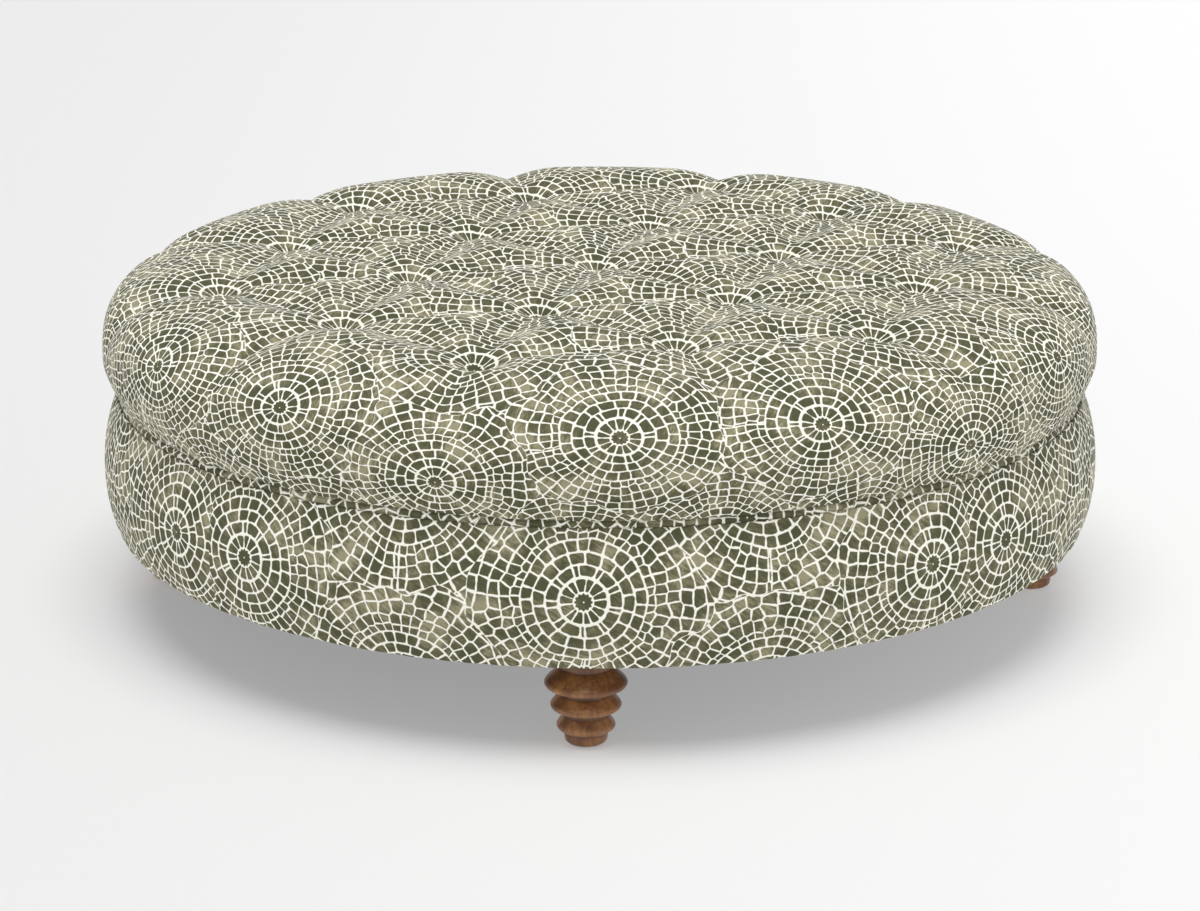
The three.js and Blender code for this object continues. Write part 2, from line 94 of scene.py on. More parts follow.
class TuffetClothSettings(bpy.types.PropertyGroup):
    medallion_spacing: bpy.props.FloatProperty(
        name="Medallion spacing",
        description="From the middle of one printed medallion to the next",
        default=0.231, min=0.1, max=0.5, unit="LENGTH")
    ring_width: bpy.props.FloatProperty(
        name="Ring width", description="Width of one ring of tesserae",
        default=0.0133, min=0.005, max=0.03, unit="LENGTH")
    grout_width: bpy.props.FloatProperty(
        name="Grout width", description="Width of the cream lines between tesserae",
        default=0.0021, min=0.0005, max=0.006, unit="LENGTH")
    grout_colour: bpy.props.StringProperty(
        name="Grout colour", description="Ground of the cloth, as sRGB hex", default="#fffdf0")
    deep_colour: bpy.props.StringProperty(
        name="Deep colour", description="Darkest tesserae, as sRGB hex", default="#55563e")
    middle_colour: bpy.props.StringProperty(
        name="Middle colour", description="Most tesserae, as sRGB hex", default="#6e6c52")
    pale_colour: bpy.props.StringProperty(
        name="Pale colour", description="Palest tesserae, as sRGB hex", default="#a09b7e")


class TuffetCushionSettings(bpy.types.PropertyGroup):
    crown: bpy.props.FloatProperty(
        name="Crown", description="Height of the puffs above the floor",
        default=SEAT_HIGH.z + 0.002, min=0.2, max=0.8, unit="LENGTH")
    radius: bpy.props.FloatProperty(
        name="Radius", description="Radius of the cushion at its widest line",
        default=SEAT_HIGH.x, min=0.3, max=1, unit="LENGTH")
    tuft_reach: bpy.props.FloatProperty(
        name="Tuft reach", description="How far a tuft's dent runs out",
        default=0.092, min=0.02, max=0.15, unit="LENGTH")
    fold_depth: bpy.props.FloatProperty(
        name="Fold depth", description="Depth of a fold where it leaves a tuft",
        default=0.0165, min=0, max=0.04, unit="LENGTH")
    pleat_depth: bpy.props.FloatProperty(
        name="Pleat depth", description="Depth of a pleat where it goes over the rim",
        default=0.013, min=0, max=0.04, unit="LENGTH")


class TuffetBorderSettings(bpy.types.PropertyGroup):
    radius: bpy.props.FloatProperty(
        name="Radius", description="Radius of the border at its widest line",
        default=BORDER_HIGH.x, min=0.3, max=1, unit="LENGTH")
    widest_height: bpy.props.FloatProperty(
        name="Widest height", description="Height of the widest line above the hem",
        default=0.068, min=0.01, max=0.15, unit="LENGTH")
    pucker: bpy.props.FloatProperty(
        name="Pucker", description="Depth of the small waves that the staples pull into the cloth",
        default=0.0007, min=0, max=0.005, unit="LENGTH")


class TuffetLegSettings(bpy.types.PropertyGroup):
    wood_colour: bpy.props.StringProperty(
        name="Wood colour", description="Stained wood, as sRGB hex", default="#7f522d")
    # The groove shade colour is painted shade, darkest in the grooves under each disc of the leg
    groove_shade_colour: bpy.props.StringProperty(
        name="Groove shade colour",
        description="Stain gathered in the grooves, as sRGB hex", default="#3f2413")


class TuffetStageSettings(bpy.types.PropertyGroup):
    key_strength: bpy.props.FloatProperty(
        name="Key light", description="Strength of the soft light above",
        default=2.15, min=0, max=20)
    key_softness: bpy.props.FloatProperty(
        name="Key softness", description="Angle that the light above fills in the sky",
        default=math.radians(42), min=0, max=math.pi, subtype="ANGLE")
    surround: bpy.props.FloatProperty(
        name="Surround", description="Strength of the white surroundings",
        default=1.08, min=0, max=5)
    floor_colour: bpy.props.StringProperty(
        name="Floor colour", description="Pale floor, as sRGB hex", default="#c8c8c8")


# Materials

def linear(code):
    """An sRGB hex colour as the linear colour that a shader takes."""
    parts = [int(code[index:index + 2], 16) / 255 for index in (1, 3, 5)]
    return (*(part / 12.92 if part <= 0.04045 else ((part + 0.055) / 1.055) ** 2.4
              for part in parts), 1.0)


def add_node(tree, kind, settings=None, inputs=None, *stops):
    """Adds a node with its settings, inputs and any colour stops. Returns the outputs in use."""
    node = tree.nodes.new("ShaderNode" + kind)
    for name, value in (settings or {}).items():
        setattr(node, name, value)
    for key, value in (inputs or {}).items():
        if isinstance(value, bpy.types.NodeSocket):
            tree.links.new(value, node.inputs[key])
        else:
            node.inputs[key].default_value = value
    for index, (position, code) in enumerate(stops):
        elements = node.color_ramp.elements
        stop = elements[index] if index < len(elements) else elements.new(position)
        stop.position, stop.color = position, linear(code)
    return [socket for socket in node.outputs if socket.enabled]


def new_material(name, look, **inputs):
    """A material whose shader takes the look's sockets. The look is a function of the node tree."""
    material = bpy.data.materials.new(name)
    material.use_nodes = True
    tree = material.node_tree
    tree.nodes.clear()
    made = look(tree)
    made.update(inputs)
    shader = add_node(tree, "BsdfPrincipled", None, made)[0]
    add_node(tree, "OutputMaterial", None, {"Surface": shader})
    return material


def add_rows(tree, made, rows):
    """Adds a table of sums to those made. A row has a name, an operation, which can be one on
    vectors, and its sources by name or number."""
    for name, operation, *sources in rows:
        inputs = {index: made.get(source, source) if isinstance(source, str) else source
                  for index, source in enumerate(sources)}
        kind = "VectorMath" if operation.startswith("vector ") else "Math"
        settings = {"operation": operation.removeprefix("vector ")}
        made[name] = add_node(tree, kind, settings, inputs)[0]
    return made


def own_random(tree, made, *key):
    """A random number that is one and the same all over a part of a medallion, such as a ring."""
    parts = {index: made.get(part, part) for index, part in enumerate(key)}
    part = add_node(tree, "CombineXYZ", None, parts)[0]
    place = add_node(tree, "VectorMath", {"operation": "ADD"}, {0: made["node"], 1: part})[0]
    return add_node(tree, "TexWhiteNoise", {"noise_dimensions": "3D"}, {"Vector": place})[0]


def mosaic_edge(tree, settings):
    """How far a place on the cloth is inside its tessera, and the tessera's own random tone."""
    # Lengths are in millimetres
    mm = 1 / MILLIMETRE
    spacing = settings.medallion_spacing * mm
    row = spacing * math.sqrt(3)
    pitch = settings.ring_width * mm
    grout = settings.grout_width * mm / 2
    grout_change = 0.85      # by which half a grout line varies
    wobble = 2.8             # most that the hand moved a tessera
    whole_wobble = 52        # radius where the rings wobble in full
    loosest, loose_blend = 55.0, 20.0    # radius past which they wobble no more than that
    wander = 15              # most that the line between two medallions leaves its place
    thinner = 0.6            # by which half that line is thinner than others
    start = 0.2              # radius where the rings begin
    flower = 9.0             # radius of a medallion's middle
    lobes, lobe_depth = 12.0, 0.8
    speck = 0.9              # dot in the flower's middle
    first_ring = 1.3         # beyond the flower, where the first ring begins
    petal_start = 2.4        # beyond the flower, where the first ring's petals begin
    petals = 7.0             # pairs of petals round the flower
    few, more = 9.0, 4.0     # pairs in each other inner ring, and how many more in the last of them
    inner = 5.0              # inner rings, beyond which the tesserae are irregular
    lean, lean_change = 0.42, 0.16       # the wide one's share of its pair
    petal_lean, third_lean = 0.07, 0.23  # how much more it has in the second and third ring
    petal_shift, petal_more = 0.18, 0.07     # of a ring: the petals stand inwards and are longer
    petal_grout = 0.25       # by which half the petals' grout is thinner
    corner, corner_share = 3.3, 0.6      # rounding of the corners, and its most for a short tessera
    tiles = 44.0             # tesserae round each outer ring
    untrue = 0.4             # how far the outer tesserae leave their rings and rows
    meeting = 1.2            # rounding where two lines meet
    seam_off = 99.0          # more than any tessera measures

    cloth = add_node(tree, "UVMap", {"uv_map": CLOTH_MAP})[0]
    place = add_node(tree, "VectorMath", {"operation": "MULTIPLY"}, {0: cloth, 1: (mm, mm, 0)})[0]
    made = {"place": place}
    for name, size, detail, output in (
            ("wobble", 36, 0.0, 1), ("wander", 44, 0.0, 1), ("grout_noise", 8, 1.0, 0)):
        made[name] = add_node(tree, "TexNoise", {"noise_dimensions": "2D"},
                              {"Vector": place, "Scale": 1 / size, "Detail": detail})[output]
    add_rows(tree, made, (
        ("wobble_shift", "vector MULTIPLY_ADD", "wobble",
         (2 * wobble, 2 * wobble, 0), (-wobble, -wobble, 0)),
        ("wander_shift", "vector MULTIPLY_ADD", "wander",
         (2 * wander, 2 * wander, 0), (-wander, -wander, 0)),
        ("roam", "vector ADD", "place", "wander_shift"),
        # The nearest medallion, of two oblong nets that make one hexagonal net
        ("roam_half", "vector ADD", "roam", (spacing / 2, row / 2, 0)),
        ("even_node", "vector SNAP", "roam_half", (spacing, row, 1)),
        ("odd_floor", "vector SNAP", "roam", (spacing, row, 1)),
        ("odd_node", "vector ADD", "odd_floor", (spacing / 2, row / 2, 0)),
        ("even_far", "vector DISTANCE", "roam", "even_node"),
        ("odd_far", "vector DISTANCE", "roam", "odd_node"),
        ("is_even", "LESS_THAN", "even_far", "odd_far"),
        ("apart", "vector SUBTRACT", "even_node", "odd_node"),
        ("node", "vector MULTIPLY_ADD", "apart", "is_even", "odd_node"),
        # How far it is to the line where the next medallion begins
        ("roam_from", "vector SUBTRACT", "roam", "node"),
        ("roam_size", "vector ABSOLUTE", "roam_from"),
        ("reach_x", "vector DOT_PRODUCT", "roam_size", (1, 0, 0)),
        ("reach_slant", "vector DOT_PRODUCT", "roam_size", (0.5, math.sqrt(0.75), 0)),
        ("reach", "MAXIMUM", "reach_x", "reach_slant"),
        ("border", "SUBTRACT", spacing / 2 + thinner, "reach"),
        # Rings round the medallion, true near its middle and loose farther out
        ("true_from", "vector SUBTRACT", "place", "node"),
        ("true_radius", "vector LENGTH", "true_from"),
        ("loose", "SMOOTH_MIN", "true_radius", loosest, loose_blend),
        ("loose_share", "MULTIPLY", "loose", 1 / whole_wobble),
        ("local", "vector MULTIPLY_ADD", "wobble_shift", "loose_share", "true_from"),
        ("radius", "vector LENGTH", "local"),
        ("x", "vector DOT_PRODUCT", "local", (1, 0, 0)),
        ("y", "vector DOT_PRODUCT", "local", (0, 1, 0)),
        ("angle", "ARCTAN2", "y", "x"),
        ("turn", "MULTIPLY_ADD", "angle", 1 / math.tau, 0.5),
        ("rings", "MULTIPLY_ADD", "radius", 1 / pitch, -start / pitch),
        ("ring_floor", "FLOOR", "rings"),
        # The first ring's petals start close to the flower
        ("is_out", "GREATER_THAN", "radius", flower + first_ring),
        ("ring", "MAXIMUM", "ring_floor", "is_out"),
        ("in_ring", "SUBTRACT", "rings", "ring"),
        # Half the width of the grout, which varies as if drawn by hand
        ("grout_vary", "MULTIPLY_ADD", "grout_noise", 2 * grout_change, grout - grout_change),
    ))
    made["ring_random"] = own_random(tree, made, 0.0, 0.0, "ring")
    # The inner rings' tesserae come in pairs, one wide and one narrow
    add_rows(tree, made, (
        ("is_second", "COMPARE", "ring", 1.0, 0.1),
        ("is_last", "GREATER_THAN", "ring", inner - 1.5),
        ("ring_pairs", "MULTIPLY_ADD", "is_last", more, few),
        ("pairs", "MULTIPLY_ADD", "is_second", petals - few, "ring_pairs"),
        ("count", "MULTIPLY_ADD", "turn", "pairs", "ring_random"),
        ("pair_floor", "FLOOR", "count"),
        ("pair", "FLOORED_MODULO", "pair_floor", "pairs"),
        ("along", "SUBTRACT", "count", "pair_floor"),
    ))
    made["pair_random"] = own_random(tree, made, "pair", "pair", "ring")
    add_rows(tree, made, (
        ("is_third", "COMPARE", "ring", 2.0, 0.1),
        ("lean", "MULTIPLY_ADD", "pair_random", lean_change, lean),
        ("lean_second", "MULTIPLY_ADD", "is_second", petal_lean, "lean"),
        ("edge", "MULTIPLY_ADD", "is_third", third_lean, "lean_second"),
        ("wide", "LESS_THAN", "along", "edge"),
        ("narrow", "SUBTRACT", 1.0, "wide"),
        ("edge_far", "ADD", "edge", "narrow"),
        ("centre", "MULTIPLY", "edge_far", 0.5),
        ("narrow_half", "MULTIPLY_ADD", "edge", -0.5, 0.5),
        ("wide_more", "SUBTRACT", "edge", 0.5),
        ("half_share", "MULTIPLY_ADD", "wide", "wide_more", "narrow_half"),
        ("round_length", "MULTIPLY", "radius", math.tau),
        ("pair_length", "DIVIDE", "round_length", "pairs"),
        # Each inner tessera is an oblong bent along its ring, with rounded corners
        ("off_centre", "SUBTRACT", "along", "centre"),
        ("off_size", "ABSOLUTE", "off_centre"),
        ("off_share", "SUBTRACT", "off_size", "half_share"),
        ("half_length", "MULTIPLY", "half_share", "pair_length"),
        ("corner_most", "MULTIPLY", "half_length", corner_share),
        ("corner", "MINIMUM", "corner_most", corner),
        ("past_x", "MULTIPLY_ADD", "off_share", "pair_length", "corner"),
        ("off_ring", "MULTIPLY_ADD", "is_second", petal_shift, "in_ring"),
        ("off_ring_middle", "SUBTRACT", "off_ring", 0.5),
        ("off_ring_size", "ABSOLUTE", "off_ring_middle"),
        ("off_ring_more", "MULTIPLY_ADD", "is_second", -petal_more, "off_ring_size"),
        ("corner_less", "SUBTRACT", "corner", pitch / 2),
        ("past_y", "MULTIPLY_ADD", "off_ring_more", pitch, "corner_less"),
        ("out_x", "MAXIMUM", "past_x", 0.0),
        ("out_y", "MAXIMUM", "past_y", 0.0),
        ("out_y_square", "MULTIPLY", "out_y", "out_y"),
        ("out_square", "MULTIPLY_ADD", "out_x", "out_x", "out_y_square"),
        ("outside", "SQRT", "out_square"),
        ("past_most", "MAXIMUM", "past_x", "past_y"),
        ("inside", "MINIMUM", "past_most", 0.0),
        ("past", "ADD", "outside", "inside"),
        ("inward", "SUBTRACT", "corner", "past"),
        ("tile_count", "MULTIPLY", "turn", tiles),
        ("whole_node", "vector FLOOR", "node"),
    ))
    # The outer tesserae are cut by eye, so they stand in a loose net that follows the rings
    net = add_node(tree, "CombineXYZ", None, {0: made["tile_count"], 1: made["rings"]})[0]
    net = add_node(tree, "VectorMath", {"operation": "ADD"}, {0: net, 1: made["whole_node"]})[0]
    cells = {"Vector": net, "Scale": 1.0, "Randomness": untrue}
    flat = {"voronoi_dimensions": "2D"}
    made["cell"] = add_node(tree, "TexVoronoi", {**flat, "feature": "DISTANCE_TO_EDGE"}, cells)[0]
    cell_colour = add_node(tree, "TexVoronoi", flat, cells)[1]
    made["cell_tone"] = add_node(tree, "SeparateColor", None, {0: cell_colour})[0]
    add_rows(tree, made, (
        ("cell_in", "MULTIPLY", "cell", pitch),
        ("past_inner", "MULTIPLY_ADD", "rings", pitch, -inner * pitch),
        # The net doesn't meet itself on the medallion's left, so a line of grout runs there
        ("from_row", "ABSOLUTE", "y"),
        ("is_right", "GREATER_THAN", "x", 0.0),
        ("from_seam", "MULTIPLY_ADD", "is_right", seam_off, "from_row"),
        ("from_lines", "MINIMUM", "from_seam", "past_inner"),
        ("loose_in", "SMOOTH_MIN", "cell_in", "from_lines", meeting),
        ("is_loose", "GREATER_THAN", "past_inner", 0.0),
        ("loose_more", "SUBTRACT", "loose_in", "inward"),
        ("any_in", "MULTIPLY_ADD", "loose_more", "is_loose", "inward"),
        # Tesserae are cut where the rings of two medallions meet
        ("cut_in", "SMOOTH_MIN", "any_in", "border", meeting),
        ("grout_half", "MULTIPLY_ADD", "is_second", -petal_grout, "grout_vary"),
        ("field_edge", "SUBTRACT", "cut_in", "grout_half"),
        # The flower in a medallion's middle
        ("lobe_turn", "MULTIPLY", "angle", lobes),
        ("lobe", "COSINE", "lobe_turn"),
        ("flower_radius", "MULTIPLY_ADD", "lobe", lobe_depth, flower),
        ("flower_edge", "SUBTRACT", "flower_radius", "radius"),
        ("speck_edge", "SUBTRACT", "radius", speck),
        ("flower_in", "MINIMUM", "flower_edge", "speck_edge"),
        ("is_flower", "SUBTRACT", 1.0, "is_out"),
        ("petal_gap", "SUBTRACT", "radius", flower + petal_start),
        ("petal_edge", "MINIMUM", "field_edge", "petal_gap"),
        ("flower_more", "SUBTRACT", "flower_in", "petal_edge"),
        ("tessera_edge", "MULTIPLY_ADD", "flower_more", "is_flower", "petal_edge"),
    ))
    made["pair_tone"] = own_random(tree, made, "pair", "wide", "ring")
    return add_rows(tree, made, (
        ("tone_more", "SUBTRACT", "cell_tone", "pair_tone"),
        ("tone", "MULTIPLY_ADD", "tone_more", "is_loose", "pair_tone"),
    ))


def printed_linen(tree):
    """Linen blend, plain woven and printed: matt, soft at grazing angles, with washes of colour
    in each tessera."""
    settings = bpy.context.scene.tuffet_cloth
    made = mosaic_edge(tree, settings)
    place = made["place"]
    flat = {"noise_dimensions": "2D"}
    soft_edge = 0.45      # millimetres over which the print's colour fades into the ground
    mask = add_node(tree, "MapRange", {"interpolation_type": "SMOOTHSTEP"},
                    {0: made["tessera_edge"], 1: -soft_edge, 2: soft_edge})[0]
    # Washes: broad ones 46 mm across over many tesserae, and brush marks 5.5 mm wide within one
    broad, brush, slant, stretch = 46, 5.5, 0.6, (1.6, 0.5, 1)
    made["broad"] = add_node(tree, "TexNoise", flat,
                             {"Vector": place, "Scale": 1 / broad, "Detail": 2.0})[0]
    slanted = add_node(tree, "VectorRotate", {"rotation_type": "Z_AXIS"},
                       {"Vector": place, "Angle": slant})[0]
    brushed = add_node(tree, "VectorMath", {"operation": "MULTIPLY"}, {0: slanted, 1: stretch})[0]
    made["brush"] = add_node(tree, "TexNoise", flat, {
        "Vector": brushed, "Scale": 1 / brush, "Detail": 4.0, "Roughness": 0.7})[0]
    add_rows(tree, made, (
        ("tone_part", "MULTIPLY_ADD", "tone", 0.24, -0.33),
        ("broad_part", "MULTIPLY_ADD", "broad", 1.7, -0.38),
        ("brush_part", "MULTIPLY_ADD", "brush", 1.2, -0.6),
        ("wash", "ADD", "tone_part", "broad_part"),
        ("washed", "ADD", "wash", "brush_part"),
        # The rings within 72 mm are darker, most of all the inmost
        ("from_middle", "SMOOTH_MIN", "radius", 72.0, 25.0),
        ("shade", "MULTIPLY_ADD", "from_middle", 1 / 200, "washed"),
    ))
    colour = add_node(tree, "ValToRGB", None, {0: made["shade"]}, (0.3, settings.deep_colour),
                      (0.66, settings.middle_colour), (1.0, settings.pale_colour))[0]
    # Threads 0.5 mm apart are too fine to show, so the slubs are drawn 1.4 mm apart
    slub, slub_length = 1.4, 0.08
    weave = []
    for squeeze in ((slub_length, 1, 1), (1, slub_length, 1)):
        drawn = add_node(tree, "VectorMath", {"operation": "MULTIPLY"}, {0: place, 1: squeeze})[0]
        weave.append(add_node(tree, "TexNoise", flat, {"Vector": drawn, "Scale": 1 / slub})[0])
    weave = add_node(tree, "Math", {"operation": "ADD"}, dict(enumerate(weave)))[0]
    thread = add_node(tree, "MapRange", None, {0: weave, 1: 0.6, 2: 1.4, 3: 0.93, 4: 1.04})[0]
    printed = add_node(tree, "Mix", {"data_type": "RGBA"},
                       {0: mask, 6: linear(settings.grout_colour), 7: colour})[0]
    cloth = add_node(tree, "VectorMath", {"operation": "MULTIPLY"}, {0: printed, 1: thread})[0]
    bump = add_node(tree, "Bump", None, {"Strength": 0.35, "Distance": 0.0006, "Height": weave})[0]
    return {"Base Color": cloth, "Normal": bump}


def upholstery_foam(tree):
    """Polyurethane foam, cut from a block: open cells 2.4 mm across make it matt and pitted."""
    place = add_node(tree, "TexCoord")[3]
    cells = add_node(tree, "TexVoronoi", None, {"Vector": place, "Scale": 420.0})[0]
    patches = add_node(tree, "TexNoise", None, {"Vector": place, "Scale": 14.0, "Detail": 3.0})[0]
    colour = add_node(tree, "ValToRGB", None, {0: patches}, (0.3, "#e6dab2"), (0.7, "#f4ecd0"))[0]
    bump = add_node(tree, "Bump", None, {"Strength": 0.5, "Distance": 0.001, "Height": cells})[0]
    return {"Base Color": colour, "Normal": bump}


def stained_beech(tree):
    """Beech, turned, stained and lacquered: upright grain, painted shade in the grooves and a satin
    coat.
    """
    settings = bpy.context.scene.tuffet_leg
    place = add_node(tree, "TexCoord")[3]
    # Grain lines 3 mm apart and flecks 1.6 mm across run up the leg, as the blank lay in the lathe
    upright = add_node(tree, "VectorMath", {"operation": "MULTIPLY"},
                       {0: place, 1: (1, 1, 0.07)})[0]
    grain = add_node(tree, "TexNoise", None, {
        "Vector": upright, "Scale": 330.0, "Detail": 4.0, "Roughness": 0.7})[0]
    figure = add_node(tree, "TexNoise", None, {
        "Vector": upright, "Scale": 55.0, "Detail": 2.0, "Distortion": 0.6})[0]
    flecks = add_node(tree, "TexVoronoi", None, {"Vector": upright, "Scale": 620.0})[0]
    fleck = add_node(tree, "MapRange", None, {0: flecks, 1: 0.05, 2: 0.35, 3: 0.72, 4: 1.0})[0]
    both = add_node(tree, "Math", {"operation": "MULTIPLY_ADD"}, {0: grain, 1: 0.6, 2: figure})[0]
    wood = add_node(tree, "ValToRGB", None, {0: both},
                    (0.5, "#5c3719"), (0.78, settings.wood_colour), (1.0, "#a87645"))[0]
    flecked = add_node(tree, "VectorMath", {"operation": "MULTIPLY"}, {0: wood, 1: fleck})[0]
    # Painted shade: the grooves under the discs are darkened with the groove shade colour
    painted_groove_shade = add_node(tree, "Attribute", {"attribute_name": "painted_groove_shade"})[2]
    colour = add_node(tree, "Mix", {"data_type": "RGBA"},
                      {0: painted_groove_shade, 6: flecked, 7: linear(settings.groove_shade_colour)})[0]
    rough = add_node(tree, "MapRange", None, {0: grain, 3: 0.34, 4: 0.5})[0]
    bump = add_node(tree, "Bump", None, {"Strength": 0.25, "Distance": 0.0004, "Height": grain})[0]
    return {"Base Color": colour, "Roughness": rough, "Normal": bump}


def birch_plywood(tree):
    """Birch plywood, sawn round: plain faces, and an edge of thin plies whose grain turns from
    one to the next."""
    place = add_node(tree, "TexCoord")[3]
    apart = add_node(tree, "SeparateXYZ", None, {0: place})
    ply_thickness = 0.0014
    ply = add_node(tree, "Math", {"operation": "PINGPONG"}, {0: apart[2], 1: ply_thickness})[0]
    share = add_node(tree, "Math", {"operation": "MULTIPLY"}, {0: ply, 1: 714.0})[0]
    plies = add_node(tree, "ValToRGB", None, {0: share}, (0.35, "#8f6c43"), (0.6, "#d6b888"))[0]
    long_way = add_node(tree, "VectorMath", {"operation": "MULTIPLY"},
                        {0: place, 1: (0.12, 1, 1)})[0]
    figure = add_node(tree, "TexNoise", None,
                      {"Vector": long_way, "Scale": 38.0, "Detail": 5.0, "Distortion": 1.2})[0]
    face = add_node(tree, "ValToRGB", None, {0: figure},
                    (0.3, "#b9935f"), (0.55, "#d2b07d"), (0.8, "#dfc496"))[0]
    normal = add_node(tree, "NewGeometry")[1]
    up = add_node(tree, "SeparateXYZ", None, {0: normal})[2]
    flat = add_node(tree, "Math", {"operation": "ABSOLUTE"}, {0: up})[0]
    colour = add_node(tree, "Mix", {"data_type": "RGBA"}, {0: flat, 6: plies, 7: face})[0]
    bump = add_node(tree, "Bump", None, {"Strength": 0.3, "Distance": 0.0005, "Height": figure})[0]
    return {"Base Color": colour, "Normal": bump}


def sawn_pine(tree):
    """Pine, sawn and left raw: pale, with wide growth rings and a rough saw face."""
    place = add_node(tree, "TexCoord")[3]
    rings = add_node(tree, "TexWave", {"wave_type": "RINGS", "rings_direction": "Z"}, {
        "Vector": place, "Scale": 42.0, "Distortion": 3.0, "Detail": 2.0, "Detail Scale": 0.6})[1]
    colour = add_node(tree, "ValToRGB", None, {0: rings},
                      (0.1, "#dcc08e"), (0.75, "#cfab73"), (1.0, "#b98a52"))[0]
    saw = add_node(tree, "TexNoise", None, {"Vector": place, "Scale": 900.0, "Detail": 2.0})[0]
    bump = add_node(tree, "Bump", None, {"Strength": 0.4, "Distance": 0.0006, "Height": saw})[0]
    return {"Base Color": colour, "Normal": bump}


def fibreboard(tree):
    """Fibreboard, pressed: brown pulp with darker fibres lying every way."""
    place = add_node(tree, "TexCoord")[3]
    pulp = add_node(tree, "TexNoise", None, {
        "Vector": place, "Scale": 160.0, "Detail": 6.0, "Roughness": 0.75})[0]
    fibres = add_node(tree, "TexNoise", None, {
        "Vector": place, "Scale": 700.0, "Detail": 3.0, "Distortion": 2.0})[0]
    both = add_node(tree, "Math", {"operation": "MULTIPLY_ADD"}, {0: fibres, 1: 0.5, 2: pulp})[0]
    colour = add_node(tree, "ValToRGB", None, {0: both},
                      (0.5, "#8d7a5c"), (0.75, "#b5a281"), (1.0, "#cbbb9c"))[0]
    bump = add_node(tree, "Bump", None, {"Strength": 0.3, "Distance": 0.0005, "Height": both})[0]
    return {"Base Color": colour, "Normal": bump}


def black_cambric(tree):
    """Spunbond polypropylene, hot rolled: thin and black, with pressed points 2 mm apart."""
    place = add_node(tree, "TexCoord")[3]
    points = add_node(tree, "TexVoronoi", {"distance": "CHEBYCHEV"},
                      {"Vector": place, "Scale": 500.0, "Randomness": 0.1})[0]
    fibres = add_node(tree, "TexNoise", None, {
        "Vector": place, "Scale": 90.0, "Detail": 6.0, "Distortion": 1.5})[0]
    colour = add_node(tree, "ValToRGB", None, {0: fibres}, (0.3, "#111112"), (0.7, "#242426"))[0]
    bump = add_node(tree, "Bump", None, {"Strength": 0.4, "Distance": 0.0004, "Height": points})[0]
    return {"Base Color": colour, "Normal": bump}


def zinc_plated_steel(tree):
    """Mild steel, rolled and zinc plated: a cool grey shine with a faint bloom."""
    place = add_node(tree, "TexCoord")[3]
    bloom = add_node(tree, "TexNoise", None, {"Vector": place, "Scale": 240.0, "Detail": 4.0})[0]
    colour = add_node(tree, "ValToRGB", None, {0: bloom}, (0.3, "#a9adb3"), (0.7, "#c9cbc8"))[0]
    rough = add_node(tree, "MapRange", None, {0: bloom, 3: 0.28, 4: 0.48})[0]
    return {"Base Color": colour, "Roughness": rough}


def moulded_nylon(tree):
    """Nylon, moulded: dark brown with a fine dull texture."""
    place = add_node(tree, "TexCoord")[3]
    spark = add_node(tree, "TexNoise", None, {"Vector": place, "Scale": 1300.0, "Detail": 2.0})[0]
    colour = add_node(tree, "ValToRGB", None, {0: spark}, (0.35, "#352e27"), (0.65, "#40382f"))[0]
    bump = add_node(tree, "Bump", None, {"Strength": 0.15, "Distance": 0.0002, "Height": spark})[0]
    return {"Base Color": colour, "Normal": bump}


def waxed_twine(tree):
    """Polyester twine, twisted and waxed: pale strands that wind round at a slant."""
    place = add_node(tree, "TexCoord")[3]
    strands = add_node(tree, "TexWave", {"wave_type": "BANDS", "bands_direction": "DIAGONAL"},
                       {"Vector": place, "Scale": 500.0, "Distortion": 0.8})[1]
    colour = add_node(tree, "ValToRGB", None, {0: strands}, (0.1, "#bfb695"), (0.7, "#ece5cc"))[0]
    bump = add_node(tree, "Bump", None, {"Strength": 0.5, "Distance": 0.0004, "Height": strands})[0]
    return {"Base Color": colour, "Normal": bump}


def glowing_floor(tree):
    """Opal acrylic, cast: pale and matt, with painted light: it glows so that shadows stay light,
    and glows brighter to the right.
    """
    settings = bpy.context.scene.tuffet_stage
    # Painted light: the floor glows, dimmer on the left and brighter on the right
    left, right, dimmer, brighter = -1.6, 1.6, 0.22, 0.38
    place = add_node(tree, "TexCoord")[3]
    across = add_node(tree, "SeparateXYZ", None, {0: place})[0]
    glow = add_node(tree, "MapRange", {"interpolation_type": "SMOOTHSTEP"},
                    {0: across, 1: left, 2: right, 3: dimmer, 4: brighter})[0]
    return {"Base Color": linear(settings.floor_colour), "Emission Strength": glow}


FINISHES = {
    "printed_cloth": ("Printed linen", printed_linen, {
        "Roughness": 0.88, "Sheen Weight": 0.03, "Sheen Roughness": 0.5,
        "Specular IOR Level": 0.15}),
    "foam": ("Polyurethane foam", upholstery_foam, {"Roughness": 0.95, "Specular IOR Level": 0.2}),
    "turned_wood": ("Stained beech", stained_beech, {
        "IOR": 1.5, "Coat Weight": 0.25, "Coat Roughness": 0.3}),
    "plywood": ("Birch plywood", birch_plywood, {"Roughness": 0.7, "IOR": 1.5}),
    "pine": ("Sawn pine", sawn_pine, {"Roughness": 0.75, "IOR": 1.5}),
    "card": ("Pressed fibreboard", fibreboard, {"Roughness": 0.9, "IOR": 1.5}),
    "black_cambric": ("Spunbond cambric", black_cambric, {"Roughness": 0.9, "Sheen Weight": 0.1}),
    "zinc_steel": ("Zinc-plated steel", zinc_plated_steel, {"Metallic": 1.0}),
    "nylon": ("Moulded nylon", moulded_nylon, {"Roughness": 0.45, "IOR": 1.53}),
    "twine": ("Waxed polyester twine", waxed_twine, {"Roughness": 0.6, "Sheen Weight": 0.1}),
}


def finish_for(slot):
    """The material of one of the record's slots, made once."""
    name, look, inputs = FINISHES[slot]
    return bpy.data.materials.get(name) or new_material(name, look, **inputs)


# Meshes

